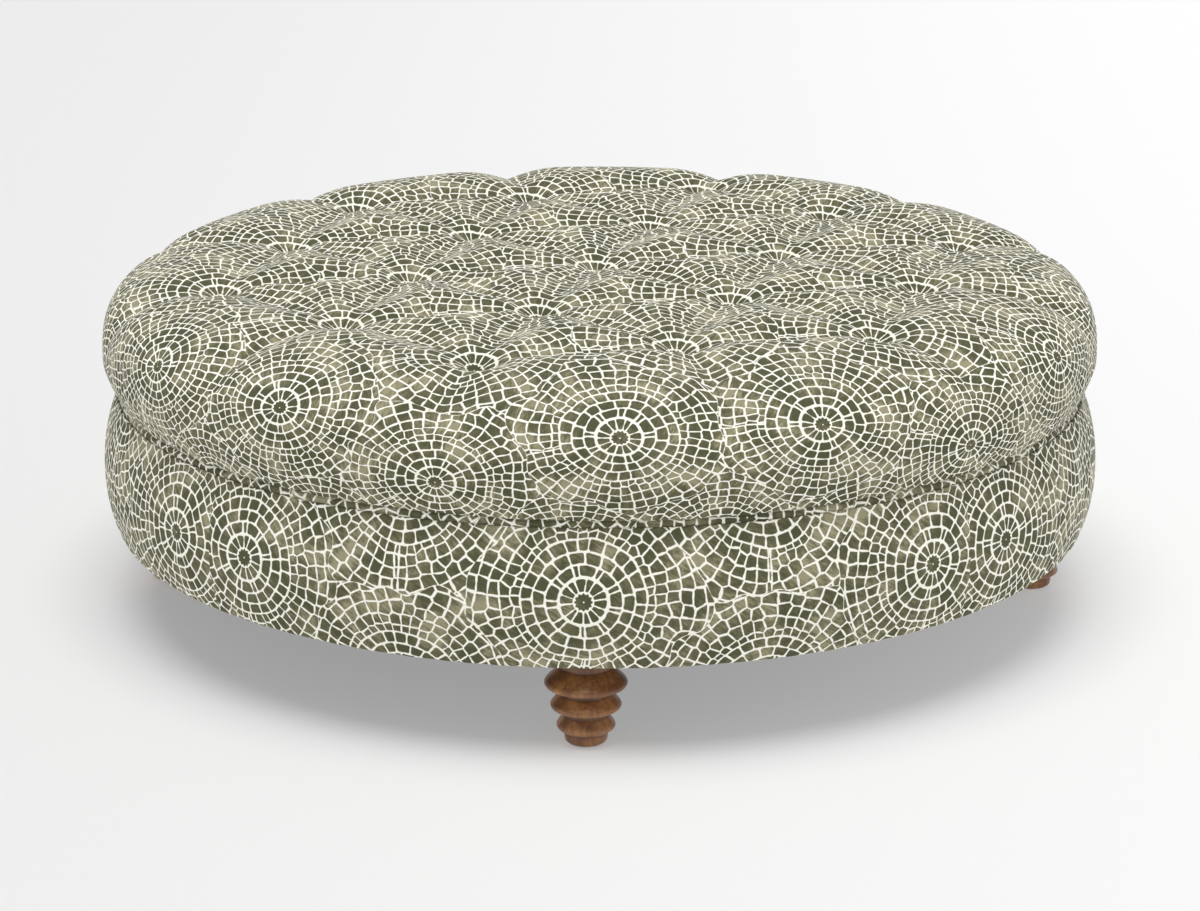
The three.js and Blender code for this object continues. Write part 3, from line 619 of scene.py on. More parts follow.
def new_piece(name, slot, vertices, faces, replaces, cloth=None):
    """A piece that rides on the body, stands for its CAD nodes, and wears the slot's finish."""
    mesh = bpy.data.meshes.new(name)
    mesh.from_pydata([tuple(vertex) for vertex in vertices], [], faces)
    mesh.validate()
    if cloth is not None:
        layer = mesh.uv_layers.new(name=CLOTH_MAP)
        layer.data.foreach_set("uv", np.asarray(cloth, np.float32).ravel())
    mesh.polygons.foreach_set("use_smooth", [True] * len(mesh.polygons))
    mesh.update()
    piece = bpy.data.objects.new(name, mesh)
    bpy.context.scene.collection.objects.link(piece)
    piece.data.materials.append(finish_for(slot))
    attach(piece, "root")
    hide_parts(*replaces)
    return piece


def refinish(*nodes):
    """Gives CAD nodes, whose shapes are right, the finish of their slots."""
    slots = {part["node"]: part["material_slot"] for part in frame["record"]["subparts"]}
    for node in nodes:
        mesh = frame["nodes"][node].data
        mesh.materials.clear()
        mesh.materials.append(finish_for(slots[node]))


def grid_faces(rows, columns, closed_rows=False):
    """Quads of a grid whose columns run right round, numbered row by row."""
    faces = []
    for row in range(rows if closed_rows else rows - 1):
        near, far = row * columns, (row + 1) % rows * columns
        for column in range(columns):
            after = (column + 1) % columns
            faces.append((near + column, near + after, far + after, far + column))
    return faces


def ring_piece(name, slot, profile, columns, replaces, cloth=None, ripple=None, closed=True):
    """A profile of radius and height, turned round the Z axis. Cloth says where on the flat cloth
    a row and column lie."""
    profile = np.asarray(profile, float)
    angles = np.arange(columns) / columns * math.tau - math.pi * 0.75
    radius = np.repeat(profile[:, :1], columns, 1)
    height = np.repeat(profile[:, 1:], columns, 1)
    if ripple is not None:
        move_out, move_up = ripple(angles, profile)
        radius, height = radius + move_out, height + move_up
    vertices = np.stack([radius * np.cos(angles), radius * np.sin(angles), height], -1)
    faces = grid_faces(len(profile), columns, closed)
    corners = None
    if cloth is not None:
        corners = []
        for face in faces:
            start = face[0] % columns
            for vertex in face:
                row, column = divmod(vertex, columns)
                if column < start:
                    column += columns
                corners.append(cloth(row, column, start))
    return new_piece(name, slot, vertices.reshape(-1, 3), faces, replaces, corners)


def thicken(cover):
    """Gives a cover the thickness of its cloth, inwards."""
    thick = cover.modifiers.new("cloth thickness", "SOLIDIFY")
    thick.thickness, thick.offset = CLOTH_THICKNESS, -1


def length_along(line):
    """The length along a line to each of its points."""
    return np.concatenate([[0], np.cumsum(np.hypot(*np.diff(line, axis=0).T))])


def smooth_step(share):
    """A share from 0 to 1, eased at both ends."""
    return share ** 2 * (3 - 2 * share)


def waves(draw, angles, *counts):
    """Uneven waves right round the part, from -1 to 1, each count of them turned at random."""
    return sum(np.cos(count * angles + draw.uniform(0, math.tau)) for count in counts) / len(counts)


def rounded(profile, roundings):
    """The profile with its corners rounded, each by its own radius."""
    most, steps = 0.48, 4     # of a side that one rounding takes, and lines along the rounding
    points = [np.asarray(point, float) for point in profile]
    line = [points[0]]
    for before, here, after, rounding in zip(points, points[1:], points[2:], roundings[1:]):
        arriving, leaving = here - before, after - here
        cut = min(rounding, np.linalg.norm(arriving) * most, np.linalg.norm(leaving) * most)
        if cut < 1e-6:
            line.append(here)
            continue
        start = here - arriving / np.linalg.norm(arriving) * cut
        end = here + leaving / np.linalg.norm(leaving) * cut
        for share in np.linspace(0, 1, steps + 1):
            rest = 1 - share
            line.append(rest ** 2 * start + 2 * share * rest * here + share ** 2 * end)
    line.append(points[-1])
    return line


# The cushion's surface

WIDEST_Z = DECK_TOP_Z + 0.0345    # height of the cushion's widest line
WAIST_Z = SEAT_LOW.z              # where the cushion meets the piping
WAIST_RADIUS = 0.5655
CURVE_START = 0.6                 # of the radius, where the line over the rim begins
TOP_POINTS, SIDE_POINTS = 500, 80     # on that line, down to the widest line and to the waist
CROWN_POWER = 7.84                # the higher, the flatter the top
SHOULDER_POWER = 3.2              # the higher, the squarer the rim
WAIST_POWER = 1.27                # the higher, the farther down the side stays wide
CLOTH_TWIST = math.radians(0.9)   # of the print on the side, from the tufts
CLOTH_SHIFT = (-0.005, 0.0035)    # of the print on the top, from the tufts to the left and the back
CLOTH_DRIFT = 0.009               # by which the print's rows stand closer than the tufts'
CLOTH_ARCS = (0.28, 0.38, 0.46, 0.586, 0.64, 0.70)            # lengths out over the rim,
CLOTH_SPREAD = (0.276, 0.376, 0.462, 0.611, 0.693, 0.779)     # and their radii on the flat cloth
SETTLED_LENGTH = 0.575            # out over the rim, where the print runs in even rings
NET_EASE = 0.55                   # how much the net's lines crowd together at tufts and folds
ROW_EASE = 0.05                   # how far the net's middle rings move down the side
HEXAGON = ((2, 0), (0, 2), (-2, 2), (-2, 0), (0, -2), (2, -2))    # lattice steps of its corners


def crown_height(radius, settings):
    """Height of the cushion without its dents."""
    out = np.clip(np.asarray(radius, float) / settings.radius, 0, 1)
    share = (1 - out ** CROWN_POWER) ** (1 / SHOULDER_POWER)
    return WIDEST_Z + (settings.crown - WIDEST_Z) * share


def lattice_place(a, b):
    """The place on the plan of a point given in steps of the tufts' lattice."""
    x, y = (a + b / 2) * TUFT_SPACING, b * TUFT_PITCH
    return np.stack([x * math.cos(ROW_TURN) - y * math.sin(ROW_TURN),
                     x * math.sin(ROW_TURN) + y * math.cos(ROW_TURN)], -1)


def lattice_cloth(a, b, spacing):
    """The same point on the flat cloth, where the lattice is even."""
    return np.stack([(a + b / 2) * spacing, b * spacing * math.sqrt(0.75)], -1)


def tuft_steps():
    """Lattice steps of the 19 tufts."""
    reach = range(-OUTER_STEPS, OUTER_STEPS + 1)
    return np.array([(a, b) for b in reach for a in reach if abs(a + b) <= OUTER_STEPS], float)


def cushion_profile(settings):
    """Radius, height and length along the line that runs out over the rim and down to the waist."""
    reach = 1 - np.linspace(math.sqrt(1 - CURVE_START), 0, TOP_POINTS) ** 2
    top = np.stack([reach * settings.radius, crown_height(reach * settings.radius, settings)], -1)
    drop = np.linspace(0, 1, SIDE_POINTS)[1:]
    low = np.stack([settings.radius - (settings.radius - WAIST_RADIUS) * drop ** WAIST_POWER,
                    WIDEST_Z - (WIDEST_Z - WAIST_Z) * drop], -1)
    line = np.concatenate([top, low])
    return line, length_along(line) + line[0, 0]


def cloth_draw(plan):
    """How far the print leaves the lattice: the tufts draw it in, and it lies askew on the top."""
    most, where = 0.0012, 0.036           # the tufts' draw, and how far from one it is strongest
    askew_radius, even_width = 0.43, 0.12     # it lies askew out to here, and even beyond the width
    draw = np.zeros_like(plan)
    for tuft in lattice_place(*tuft_steps().T):
        away = plan - tuft
        far = np.maximum(np.hypot(*away.T), 1e-6)[:, None]
        draw += most * away / where * np.exp(1 - far / where)
    edge = np.clip((np.hypot(*plan.T) - askew_radius) / even_width, 0, 1)
    shift = np.array(CLOTH_SHIFT) - plan * (0, CLOTH_DRIFT)
    draw -= (1 - smooth_step(edge))[:, None] * shift
    cos, sin = math.cos(ROW_TURN), math.sin(ROW_TURN)
    return draw @ np.array([[cos, -sin], [sin, cos]])


def crowd(share):
    """Lattice steps of the net's lines, which crowd together at tufts and folds."""
    return share - NET_EASE * np.sin(math.tau * share) / math.tau


def cushion_net(settings, steps, rows, spacing):
    """Points, outward directions, places on the cloth and faces of the cushion without its dents,
    and its lowest ring."""
    span = OUTER_STEPS * steps
    number = {}
    pairs = []
    for j in range(-span, span + 1):
        for i in range(-span, span + 1):
            if abs(i + j) <= span:
                number[i, j] = len(pairs)
                pairs.append((i, j))
    steps_of = crowd(np.array(pairs, float) / steps)
    plan = lattice_place(steps_of[:, 0], steps_of[:, 1])
    cloth = lattice_cloth(steps_of[:, 0], steps_of[:, 1], spacing)
    radius = np.hypot(*plan.T)
    step = 1e-4
    rise = crown_height(radius + step, settings) - crown_height(radius - step, settings)
    slope = rise / (2 * step)
    away = plan / np.maximum(radius, 1e-9)[:, None]
    normals = np.concatenate([-slope[:, None] * away, np.ones((len(plan), 1))], 1)
    normals /= np.linalg.norm(normals, axis=1)[:, None]
    points = np.concatenate([plan, crown_height(radius, settings)[:, None]], 1)
    faces = []
    for i, j in pairs:
        corners = [(i, j), (i + 1, j), (i + 1, j + 1), (i, j + 1)]
        inside = [number[corner] for corner in corners if corner in number]
        if len(inside) == 4:
            faces.append(tuple(inside))
        elif (i + 1, j) in number and (i, j + 1) in number:
            faces.append((number[i, j], number[i + 1, j], number[i, j + 1]))
    for i, j in pairs:
        # The triangles along the two slanting sides whose near corner is outside
        if (i - 1, j) in number and (i, j - 1) in number and (i - 1, j - 1) not in number:
            faces.append((number[i, j - 1], number[i, j], number[i - 1, j]))
    loop = []
    for corner, following in zip(HEXAGON, HEXAGON[1:] + HEXAGON[:1]):
        for step_along in range(span):
            share = step_along / span
            loop.append(number[tuple(round((here + (there - here) * share) * steps)
                                     for here, there in zip(corner, following))])

    line, length = cushion_profile(settings)
    tangent = np.gradient(line, axis=0)
    outward = np.stack([-tangent[:, 1], tangent[:, 0]], -1)
    outward /= np.linalg.norm(outward, axis=1)[:, None]
    start_length = np.interp(radius[loop], line[:TOP_POINTS, 0], length[:TOP_POINTS])
    share = np.linspace(0, 1, rows + 1)[1:]
    share = share + ROW_EASE * np.sin(share * math.pi)
    at = start_length[None, :] + (length[-1] - start_length)[None, :] * share[:, None]
    rim_radius, rim_height = np.interp(at, length, line[:, 0]), np.interp(at, length, line[:, 1])
    angle = np.arctan2(plan[loop, 1], plan[loop, 0])
    side = np.stack([np.cos(angle), np.sin(angle)], -1)
    rim = np.concatenate([rim_radius[..., None] * side[None], rim_height[..., None]], 2)
    rim_out = np.interp(at, length, outward[:, 0])
    rim_up = np.interp(at, length, outward[:, 1])
    rim_normals = np.concatenate([rim_out[..., None] * side[None], rim_up[..., None]], 2)
    # On the cloth the rings carry on past the hexagon, a little drawn together down the side
    cloth_start = cloth[loop]
    over = np.hypot(*cloth_start.T) - np.interp(start_length, CLOTH_ARCS, CLOTH_SPREAD)
    settle = (at - start_length[None, :]) / (SETTLED_LENGTH - start_length[None, :])
    settle = smooth_step(np.clip(settle, 0, 1))
    cloth_radius = np.interp(at, CLOTH_ARCS, CLOTH_SPREAD) + over[None, :] * (1 - settle)
    cloth_angle = np.arctan2(cloth_start[:, 1], cloth_start[:, 0])
    turn_to = angle - ROW_TURN + CLOTH_TWIST
    turn_by = (turn_to - cloth_angle + math.pi) % math.tau - math.pi
    cloth_angle = cloth_angle[None, :] + turn_by[None, :] * settle
    rim_cloth = cloth_radius[..., None] * np.stack([np.cos(cloth_angle), np.sin(cloth_angle)], -1)

    base = len(points)
    columns = len(loop)
    rings = [loop]
    for row in range(rows):
        rings.append([base + row * columns + column for column in range(columns)])
    for near, far in zip(rings, rings[1:]):
        for column in range(columns):
            after = (column + 1) % columns
            faces.append((near[column], far[column], far[after], near[after]))
    points = np.concatenate([points, rim.reshape(-1, 3)])
    normals = np.concatenate([normals, rim_normals.reshape(-1, 3)])
    cloth = np.concatenate([cloth, rim_cloth.reshape(-1, 2)])
    return points, normals, cloth + cloth_draw(points[:, :2]), faces, rings[-1]


def dents(points, settings):
    """How far each point of the cushion's face lies below its crown: tufts, folds, pleats and
    small pulls."""
    knot_proud = 0.0022       # how far a tie's knot stands out of the cloth
    fold_power = 5            # the higher, the more the deepest of the folds counts alone
    meeting_folds = 6         # folds that meet in a tuft
    end_share, end_loss, end_power = 0.58, 0.42, 3    # of a fold's depth, at its tufts
    tuft_soft = 0.002         # rounding at the bottom of a tuft
    middle_soft, soft_loss = 0.012, 0.0115            # and of a fold, and how much less at its ends
    fold_width, pleat_width = 0.064, 0.066            # half of each
    fold_change, pleat_gains = 0.12, (0.93, 1.07)     # by which one is deeper than another
    pleat_open = 0.4          # of a pleat's run, past which it fades down the side
    fade_low, fade_less = 0.004, 0.02     # it is gone at this height above the widest line, and
    # fades in over the crown's height above that line, less the second
    ring_depth, ring_radius, ring_width, ring_waves = 0.0006, 0.022, 0.013, 12
    ladder_depth, ladder_spacing, ladder_width = 0.0003, 0.0175, 0.014
    puff_rise, puff_power = 0.0025, 6     # of the puffs' tops over the crown
    slow_depth = 0.0008       # of the padding's slow unevenness
    gather_depth, gather_reach = 0.0011, 0.016        # of the small gathers above the piping

    draw = np.random.default_rng(19)
    plan = points[:, :2]
    steps = tuft_steps()
    tufts = lattice_place(steps[:, 0], steps[:, 1])
    floors = crown_height(np.hypot(*tufts.T), settings) - (KNOT_TOP_Z - knot_proud)
    folds = np.zeros(len(points))
    pulls = np.zeros(len(points))

    def steps_out(step):
        """Lattice steps from the middle."""
        return max(abs(step[0]), abs(step[1]), abs(step[0] + step[1]))

    def valley(off, soft, half_width):
        """A fold's share of its depth at a distance from its line, as domes leave between them."""
        near = np.clip(1 - (np.sqrt(off ** 2 + soft ** 2) - soft) / half_width, 0, 1)
        return near ** 2

    for tuft, floor in zip(tufts, floors):
        away = plan - tuft
        far = np.hypot(*away.T)
        folds_here = meeting_folds * (end_share * settings.fold_depth) ** fold_power
        depth = (floor ** fold_power - folds_here) ** (1 / fold_power)
        folds += (depth * valley(far, tuft_soft, settings.tuft_reach)) ** fold_power
        turn = np.arctan2(away[:, 1], away[:, 0])
        phase = draw.uniform(0, math.tau)
        ring = np.exp(-((far - ring_radius) / ring_width) ** 2)
        pulls += ring_depth * ring * np.cos(ring_waves * (turn - ROW_TURN) + phase)

    for first in range(len(tufts)):
        for second in range(first + 1, len(tufts)):
            if steps_out(steps[second] - steps[first]) != 1:
                continue
            line = tufts[second] - tufts[first]
            size = np.hypot(*line)
            share = np.clip((plan - tufts[first]) @ line / size ** 2, 0, 1)
            off = np.hypot(*(plan - tufts[first] - share[:, None] * line).T)
            near = np.abs(2 * share - 1)
            gain = 1 + draw.uniform(-fold_change, fold_change) * (1 - near)
            gain = gain * (1 - end_loss * near ** end_power)
            soft = middle_soft - soft_loss * near
            folds += (settings.fold_depth * gain * valley(off, soft, fold_width)) ** fold_power
            ladder = np.cos(share * size / ladder_spacing * math.tau + draw.uniform(0, math.tau))
            pulls += ladder_depth * ladder * np.exp(-off / ladder_width) * (1 - near ** 2)
    fade = (points[:, 2] - (WIDEST_Z + fade_low)) / (settings.crown - WIDEST_Z - fade_less)
    fade = smooth_step(np.clip(fade, 0, 1))
    for start, step in zip(tufts, steps):
        if steps_out(step) != OUTER_STEPS:
            continue
        size = settings.radius - np.hypot(*start)
        line = start / np.hypot(*start)
        share = np.clip((plan - start) @ line / size, 0, 1)
        off = np.hypot(*(plan - start - share[:, None] * size * line).T)
        depth = np.interp(share, (0, 0.3, 0.7, 1), (
            settings.fold_depth * end_share, settings.fold_depth * 0.85,
            settings.pleat_depth, settings.pleat_depth * 0.9))
        soft = np.interp(share, (0, 0.35, 1), (0.0005, 0.003, 0.004))
        pleat = depth * draw.uniform(*pleat_gains) * valley(off, soft, pleat_width)
        folds += (pleat * np.where(share < pleat_open, 1, fade)) ** fold_power
    total = folds ** (1 / fold_power)
    out = np.hypot(*plan.T) / settings.radius
    total -= puff_rise * np.clip(1 - out ** puff_power, 0, 1)

    angle = np.arctan2(plan[:, 1], plan[:, 0])
    slow = waves(draw, angle, 3, 5, 8)
    gather = waves(draw, angle, 61, 97, 140)
    low = np.exp(-np.clip(points[:, 2] - WAIST_Z, 0, 1) / gather_reach)
    side = points[:, 2] < WIDEST_Z
    return total + pulls + slow_depth * slow + gather_depth * gather * low * side


def cushion_mesh(settings, steps, rows, spacing, depth):
    """The cushion's face at a depth below the cloth, its corners' places on the cloth, and its
    lowest ring."""
    points, normals, cloth, faces, edge = cushion_net(settings, steps, rows, spacing)
    sunk = points - normals * (dents(points, settings) + depth)[:, None]
    corners = [cloth[vertex] for face in faces for vertex in face]
    return sunk, faces, corners, edge


# The border's surface

HEM_Z = BORDER_LOW.z
HEM_RADIUS = 0.5733
HEM_ROUND = 0.004                 # rounding where the cover turns in under the hem
HEM_POINTS = 5                    # along that rounding
BORDER_TOP_Z = BORDER_HIGH.z
BORDER_TOP_RADIUS = 0.569
FACE_LOW_Z, FACE_TOP_Z = HEM_Z + HEM_ROUND, BORDER_TOP_Z - 0.0014
FACE_POWER = 2.2                  # of the curve from the widest line to the hem and the top
BAND_RADIUS = 0.5503              # outside of the thin board that is bent round the drum
PANEL_TURN = math.pi / 2          # each of the cover's four panels covers a quarter
# Radius, and height over the border's top, where the cover rolls in under the piping
ROLL = ((0.5689, 0.0022), (0.5681, 0.0039), (0.5667, 0.0043), (0.5657, 0.0034), (0.5646, 0.0004),
        (0.5545, 0))
FACE = slice(1 + HEM_POINTS, -len(ROLL))    # the points of the border's line that show


def border_radius(z, settings):
    """Radius of the border's face at a height."""
    widest = HEM_Z + settings.widest_height
    z = np.asarray(z, float)
    below = z < widest
    end_z = np.where(below, FACE_LOW_Z, FACE_TOP_Z)
    end_radius = np.where(below, HEM_RADIUS, BORDER_TOP_RADIUS)
    share = np.clip((z - widest) / (end_z - widest), 0, 1)
    return settings.radius - (settings.radius - end_radius) * share ** FACE_POWER


def border_line(settings, steps):
    """The border's line, from its return under the base board out, up, and in to the tack strip."""
    under = 0.02              # how far the cover runs in under the base board
    hem = [(HEM_RADIUS - HEM_ROUND + HEM_ROUND * math.sin(angle),
            HEM_Z + HEM_ROUND - HEM_ROUND * math.cos(angle))
           for angle in np.linspace(0, math.pi / 2, HEM_POINTS + 1)[:-1]]
    face = [(float(border_radius(z, settings)), z)
            for z in np.linspace(FACE_LOW_Z, FACE_TOP_Z, steps)]
    top = [(radius, BORDER_TOP_Z + rise) for radius, rise in ROLL]
    return [(BAND_RADIUS - under, HEM_Z)] + hem + face + top


# The legs' line

LEG_PROFILE_MM = (
    # radius, height, rounding and how dark the painted shade is, from the foot's middle up to the
    # pad
    (0, 0, 0, 0), (19.8, 0, 0, 0.2), (22.7, 2.4, 1.6, 0), (24, 12, 0.8, 0.55),
    (30.4, 16.2, 2.0, 0), (32, 19.5, 2.2, 0), (30.2, 22.6, 2.2, 0),
    (23.5, 32, 1.2, 0.6), (23.5, 34.5, 0.9, 0.95),
    (36.8, 39.2, 2.0, 0), (38.5, 42.5, 2.2, 0), (36.6, 45.8, 2.2, 0),
    (27, 56, 1.2, 0.6), (27, 58.5, 0.9, 0.95),
    (43.3, 64.2, 2.0, 0), (45, 67.5, 2.2, 0), (43.0, 70.9, 2.2, 0),
    (27.5, 85.5, 1.5, 0.5), (27.5, 94, 1.0, 0.6),
    (34, 95, 0.8, 0.2), (34, 100, 0.6, 0), (4.3, 100, 0, 0),
)


def leg_line():
    """Points up the leg, and how dark the painted shade is at each."""
    point_gap, shade_reach = 0.0022, 0.0024
    corners = [(radius * MILLIMETRE, z * MILLIMETRE) for radius, z, _, _ in LEG_PROFILE_MM]
    roundings = [rounding * MILLIMETRE for _, _, rounding, _ in LEG_PROFILE_MM]
    # Points along the long slopes too, so that the painted shade fades evenly
    line = []
    for point in rounded(corners, roundings):
        if not line:
            line.append(point)
            continue
        start = line[-1]
        count = max(1, int(np.linalg.norm(point - start) / point_gap))
        line.extend(start + (point - start) * share for share in np.linspace(0, 1, count + 1)[1:])
    knots = np.array(corners)
    # The painted shade is darkest in the grooves under each disc
    painted_shade = np.array([dark for _, _, _, dark in LEG_PROFILE_MM])
    darkness = []
    for point in line:
        far = np.linalg.norm(knots - point, axis=1)
        darkness.append(float(np.max(painted_shade * np.exp(-(far / shade_reach) ** 2))))
    return np.array(line), darkness


# Operators: one for each piece or group of like pieces

class TUFFET_OT_stage(bpy.types.Operator):
    """Make the floor, the lights and the camera"""
    bl_idname = "tuffet.stage"
    bl_label = "Stage"

    def execute(self, context):
        settings = context.scene.tuffet_stage
        half = 15
        corners = [(-half, -half, 0), (half, -half, 0), (half, half, 0), (-half, half, 0)]
        mesh = bpy.data.meshes.new("floor")
        mesh.from_pydata(corners, [], [(0, 1, 2, 3)])
        floor = bpy.data.objects.new("floor", mesh)
        context.scene.collection.objects.link(floor)
        mesh.materials.append(new_material("Glowing floor", glowing_floor, **{
            "Roughness": 0.9, "Specular IOR Level": 0.1, "Emission Color": (1, 1, 1, 1)}))
        floor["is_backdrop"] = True

        world = context.scene.world or bpy.data.worlds.new("world")
        context.scene.world = world
        world.use_nodes = True
        tree = world.node_tree
        tree.nodes.clear()
        # A round studio whose white walls are brighter than its ceiling. A direction's height is
        # 0 level and 1 straight up
        wall_top, ceiling, ceiling_share = 0.2, 0.65, 0.22
        view = add_node(tree, "TexCoord")[0]
        height = add_node(tree, "SeparateXYZ", None, {0: view})[2]
        wall = add_node(tree, "MapRange", {"interpolation_type": "SMOOTHSTEP"}, {
            0: height, 1: wall_top, 2: ceiling, 3: settings.surround,
            4: settings.surround * ceiling_share})[0]
        light = add_node(tree, "Background", None, {"Color": (1, 1, 1, 1), "Strength": wall})[0]
        add_node(tree, "OutputWorld", None, {"Surface": light})

        lamp = bpy.data.lights.new("key", "SUN")
        lamp.energy, lamp.angle = settings.key_strength, settings.key_softness
        key = bpy.data.objects.new("key", lamp)
        key.location = (0, 0, 3)
        key.rotation_euler = (math.radians(9), math.radians(-1), 0)
        context.scene.collection.objects.link(key)

        # The camera's place, turn and lens were solved from the photo
        camera = bpy.data.objects.new("camera", bpy.data.cameras.new("camera"))
        camera.location = (0.118, -4.095, 1.444)
        camera.rotation_euler = (math.radians(72.586), 0, math.radians(1.65))
        camera.data.lens, camera.data.sensor_width = 107.93, 36
        context.scene.collection.objects.link(camera)
        context.scene.camera = camera
        context.scene.view_settings.view_transform = "Standard"
        return {"FINISHED"}


class TUFFET_OT_cushion(bpy.types.Operator):
    """Make the tufted cushion: its printed cover and the foam inside"""
    bl_idname = "tuffet.cushion"
    bl_label = "Cushion"

    def execute(self, context):
        settings = context.scene.tuffet_cushion
        spacing = context.scene.tuffet_cloth.medallion_spacing
        # Lines of the net from tuft to tuft, and rings down the side
        steps, rows = ((48, 64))
        foam_steps, foam_rows, foam_depth = 20, 20, 0.0055
        lip_share, lip_drop = 0.974, 0.0004
        points, faces, corners, edge = cushion_mesh(settings, steps, rows, spacing, 0)
        # The cover turns in under the cushion, over the piping
        inner = len(points)
        lip = points[edge] * np.array([lip_share, lip_share, 1]) - np.array([0, 0, lip_drop])
        points = np.concatenate([points, lip])
        for column in range(len(edge)):
            after = (column + 1) % len(edge)
            faces.append((edge[column], inner + column, inner + after, edge[after]))
            corners.extend([corners[0]] * 4)
        cover = new_piece("cushion_cover", "printed_cloth", points, faces, ("seat_cover",), corners)
        thicken(cover)

        points, faces, _, edge = cushion_mesh(settings, foam_steps, foam_rows, spacing, foam_depth)
        points[:, 2] = np.maximum(points[:, 2], DECK_TOP_Z + FIT_GAP)
        faces.append(tuple(reversed(edge)))
        foam = new_piece("cushion_foam", "foam", points, faces, ("seat_foam",))
        return {"FINISHED"}


class TUFFET_OT_ties(bpy.types.Operator):
    """Finish the twines that hold the tufts down"""
    bl_idname = "tuffet.ties"
    bl_label = "Tuft ties"

    def execute(self, context):
        refinish(*[node for node in frame["nodes"] if node.startswith("tuft_tie_")])
        return {"FINISHED"}


class TUFFET_OT_border(bpy.types.Operator):
    """Make the padded border: its printed cover, sewn from four panels, and the foam inside"""
    bl_idname = "tuffet.border"
    bl_label = "Border"

    def execute(self, context):
        settings = context.scene.tuffet_border
        columns = 720
        medallion_z = 0.183       # height of the medallions' middles
        outer = np.array(border_line(settings, 56))
        length = length_along(outer)
        level = np.interp(medallion_z, outer[FACE, 1], length[FACE])
        draw = np.random.default_rng(4)

        def ripple(angles, profile):
            """Panel seams, pulls at the staples along both edges, and slow unevenness."""
            hem_fade, top_fade = 0.012, 0.006         # heights over which they begin
            seam_depth, seam_width, dip_depth, dip_width = 0.0011, 0.0022, 0.0006, 0.012
            pull_reach, slow_depth = 0.018, 0.0008
            hem_lift, lift_reach = 0.0004, 0.01       # of the hem between its staples
            z = profile[:, 1][:, None]
            above, below = z - HEM_Z, BORDER_TOP_Z - z
            face = np.clip(above / hem_fade, 0, 1) * np.clip(below / top_fade, 0, 1)
            half_turn = PANEL_TURN / 2
            from_seam = ((angles + half_turn) % PANEL_TURN + half_turn) % PANEL_TURN - half_turn
            off = np.abs(from_seam) * settings.radius
            seam = (seam_depth * np.exp(-(off / seam_width) ** 2)
                    + dip_depth * np.exp(-off / dip_width))
            pulls = waves(draw, angles, 71, 113, 167)
            near_edge = np.exp(-above / pull_reach) + np.exp(-below / pull_reach)
            slow = waves(draw, angles, 5, 9, 14)
            lift = hem_lift * pulls * np.exp(-above / lift_reach)
            puckers = settings.pucker * pulls * near_edge
            return -seam * face + puckers * face + slow_depth * slow * face, lift

        def cloth(row, column, start):
            """Each panel is cut with a medallion in its middle."""
            panel_columns = columns // 4
            panel = start // panel_columns
            off = (column - (panel + 0.5) * panel_columns) / columns * math.tau * settings.radius
            return (length[row] - level, -off)

        cover = ring_piece("border_panels", "printed_cloth", outer, columns, ("border_cover",),
                           cloth, ripple, closed=False)
        thicken(cover)

        inset, hem_inset, cloth_room = 0.0045, 0.006, 0.0023      # of the foam behind its cover
        top_radius = 0.5542       # outside of the foam's top, within the piping
        low_z, high_z = HEM_Z + cloth_room, WELT_LOW.z - FIT_GAP
        edge = BAND_RADIUS + FIT_GAP
        face = [(radius - inset, z) for radius, z in border_line(settings, 16)[FACE]]
        body = [(edge, low_z), (HEM_RADIUS - hem_inset, low_z), *face,
                (top_radius, BORDER_TOP_Z - cloth_room), (top_radius, high_z), (edge, high_z)]
        foam = ring_piece("border_padding", "foam", body, 192, ("border_foam",))
        return {"FINISHED"}


class TUFFET_OT_waist(bpy.types.Operator):
    """Make the piping round the waist"""
    bl_idname = "tuffet.waist"
    bl_label = "Waist piping"

    def execute(self, context):
        columns = 720
        cord = 0.006              # radius of the piping
        open_turn, cord_points = 0.26, 18         # half of the gap where its cloth comes together
        half_lip = 0.0015
        twists, slope, twist_depth = 260, 420, 0.00025
        centre_radius, centre_z = WELT_HIGH.x - cord, WELT_HIGH.z - cord
        lip_back, lip_face = BAND_RADIUS + FIT_GAP, BAND_RADIUS + CLOTH_THICKNESS
        profile = [(lip_back, WELT_LOW.z), (lip_face, WELT_LOW.z), (lip_face, centre_z - half_lip)]
        for angle in np.linspace(-math.pi + open_turn, math.pi - open_turn, cord_points):
            profile.append((centre_radius + cord * math.cos(angle),
                            centre_z + cord * math.sin(angle)))
        profile.append((lip_back, centre_z + half_lip))
        length = length_along(np.array(profile))
        slant = math.cos(math.pi / 4)

        def ripple(angles, profile):
            """Small twists of a bias strip drawn round a cord."""
            out = np.clip((profile[:, 0] - lip_face) / cord, 0, 1)[:, None]
            twist = np.cos(angles * twists + profile[:, 1][:, None] * slope) * twist_depth
            return twist * out, np.zeros((len(profile), len(angles)))

        def cloth(row, column, start):
            """The strip is cut on the bias, and its seams are left out."""
            around = column / columns * math.tau * centre_radius
            across = length[row]
            return ((around + across) * slant, (around - across) * slant)

        ring_piece("waist_piping", "printed_cloth", profile, columns, ("waist_welt",),
                   cloth, ripple)
        return {"FINISHED"}


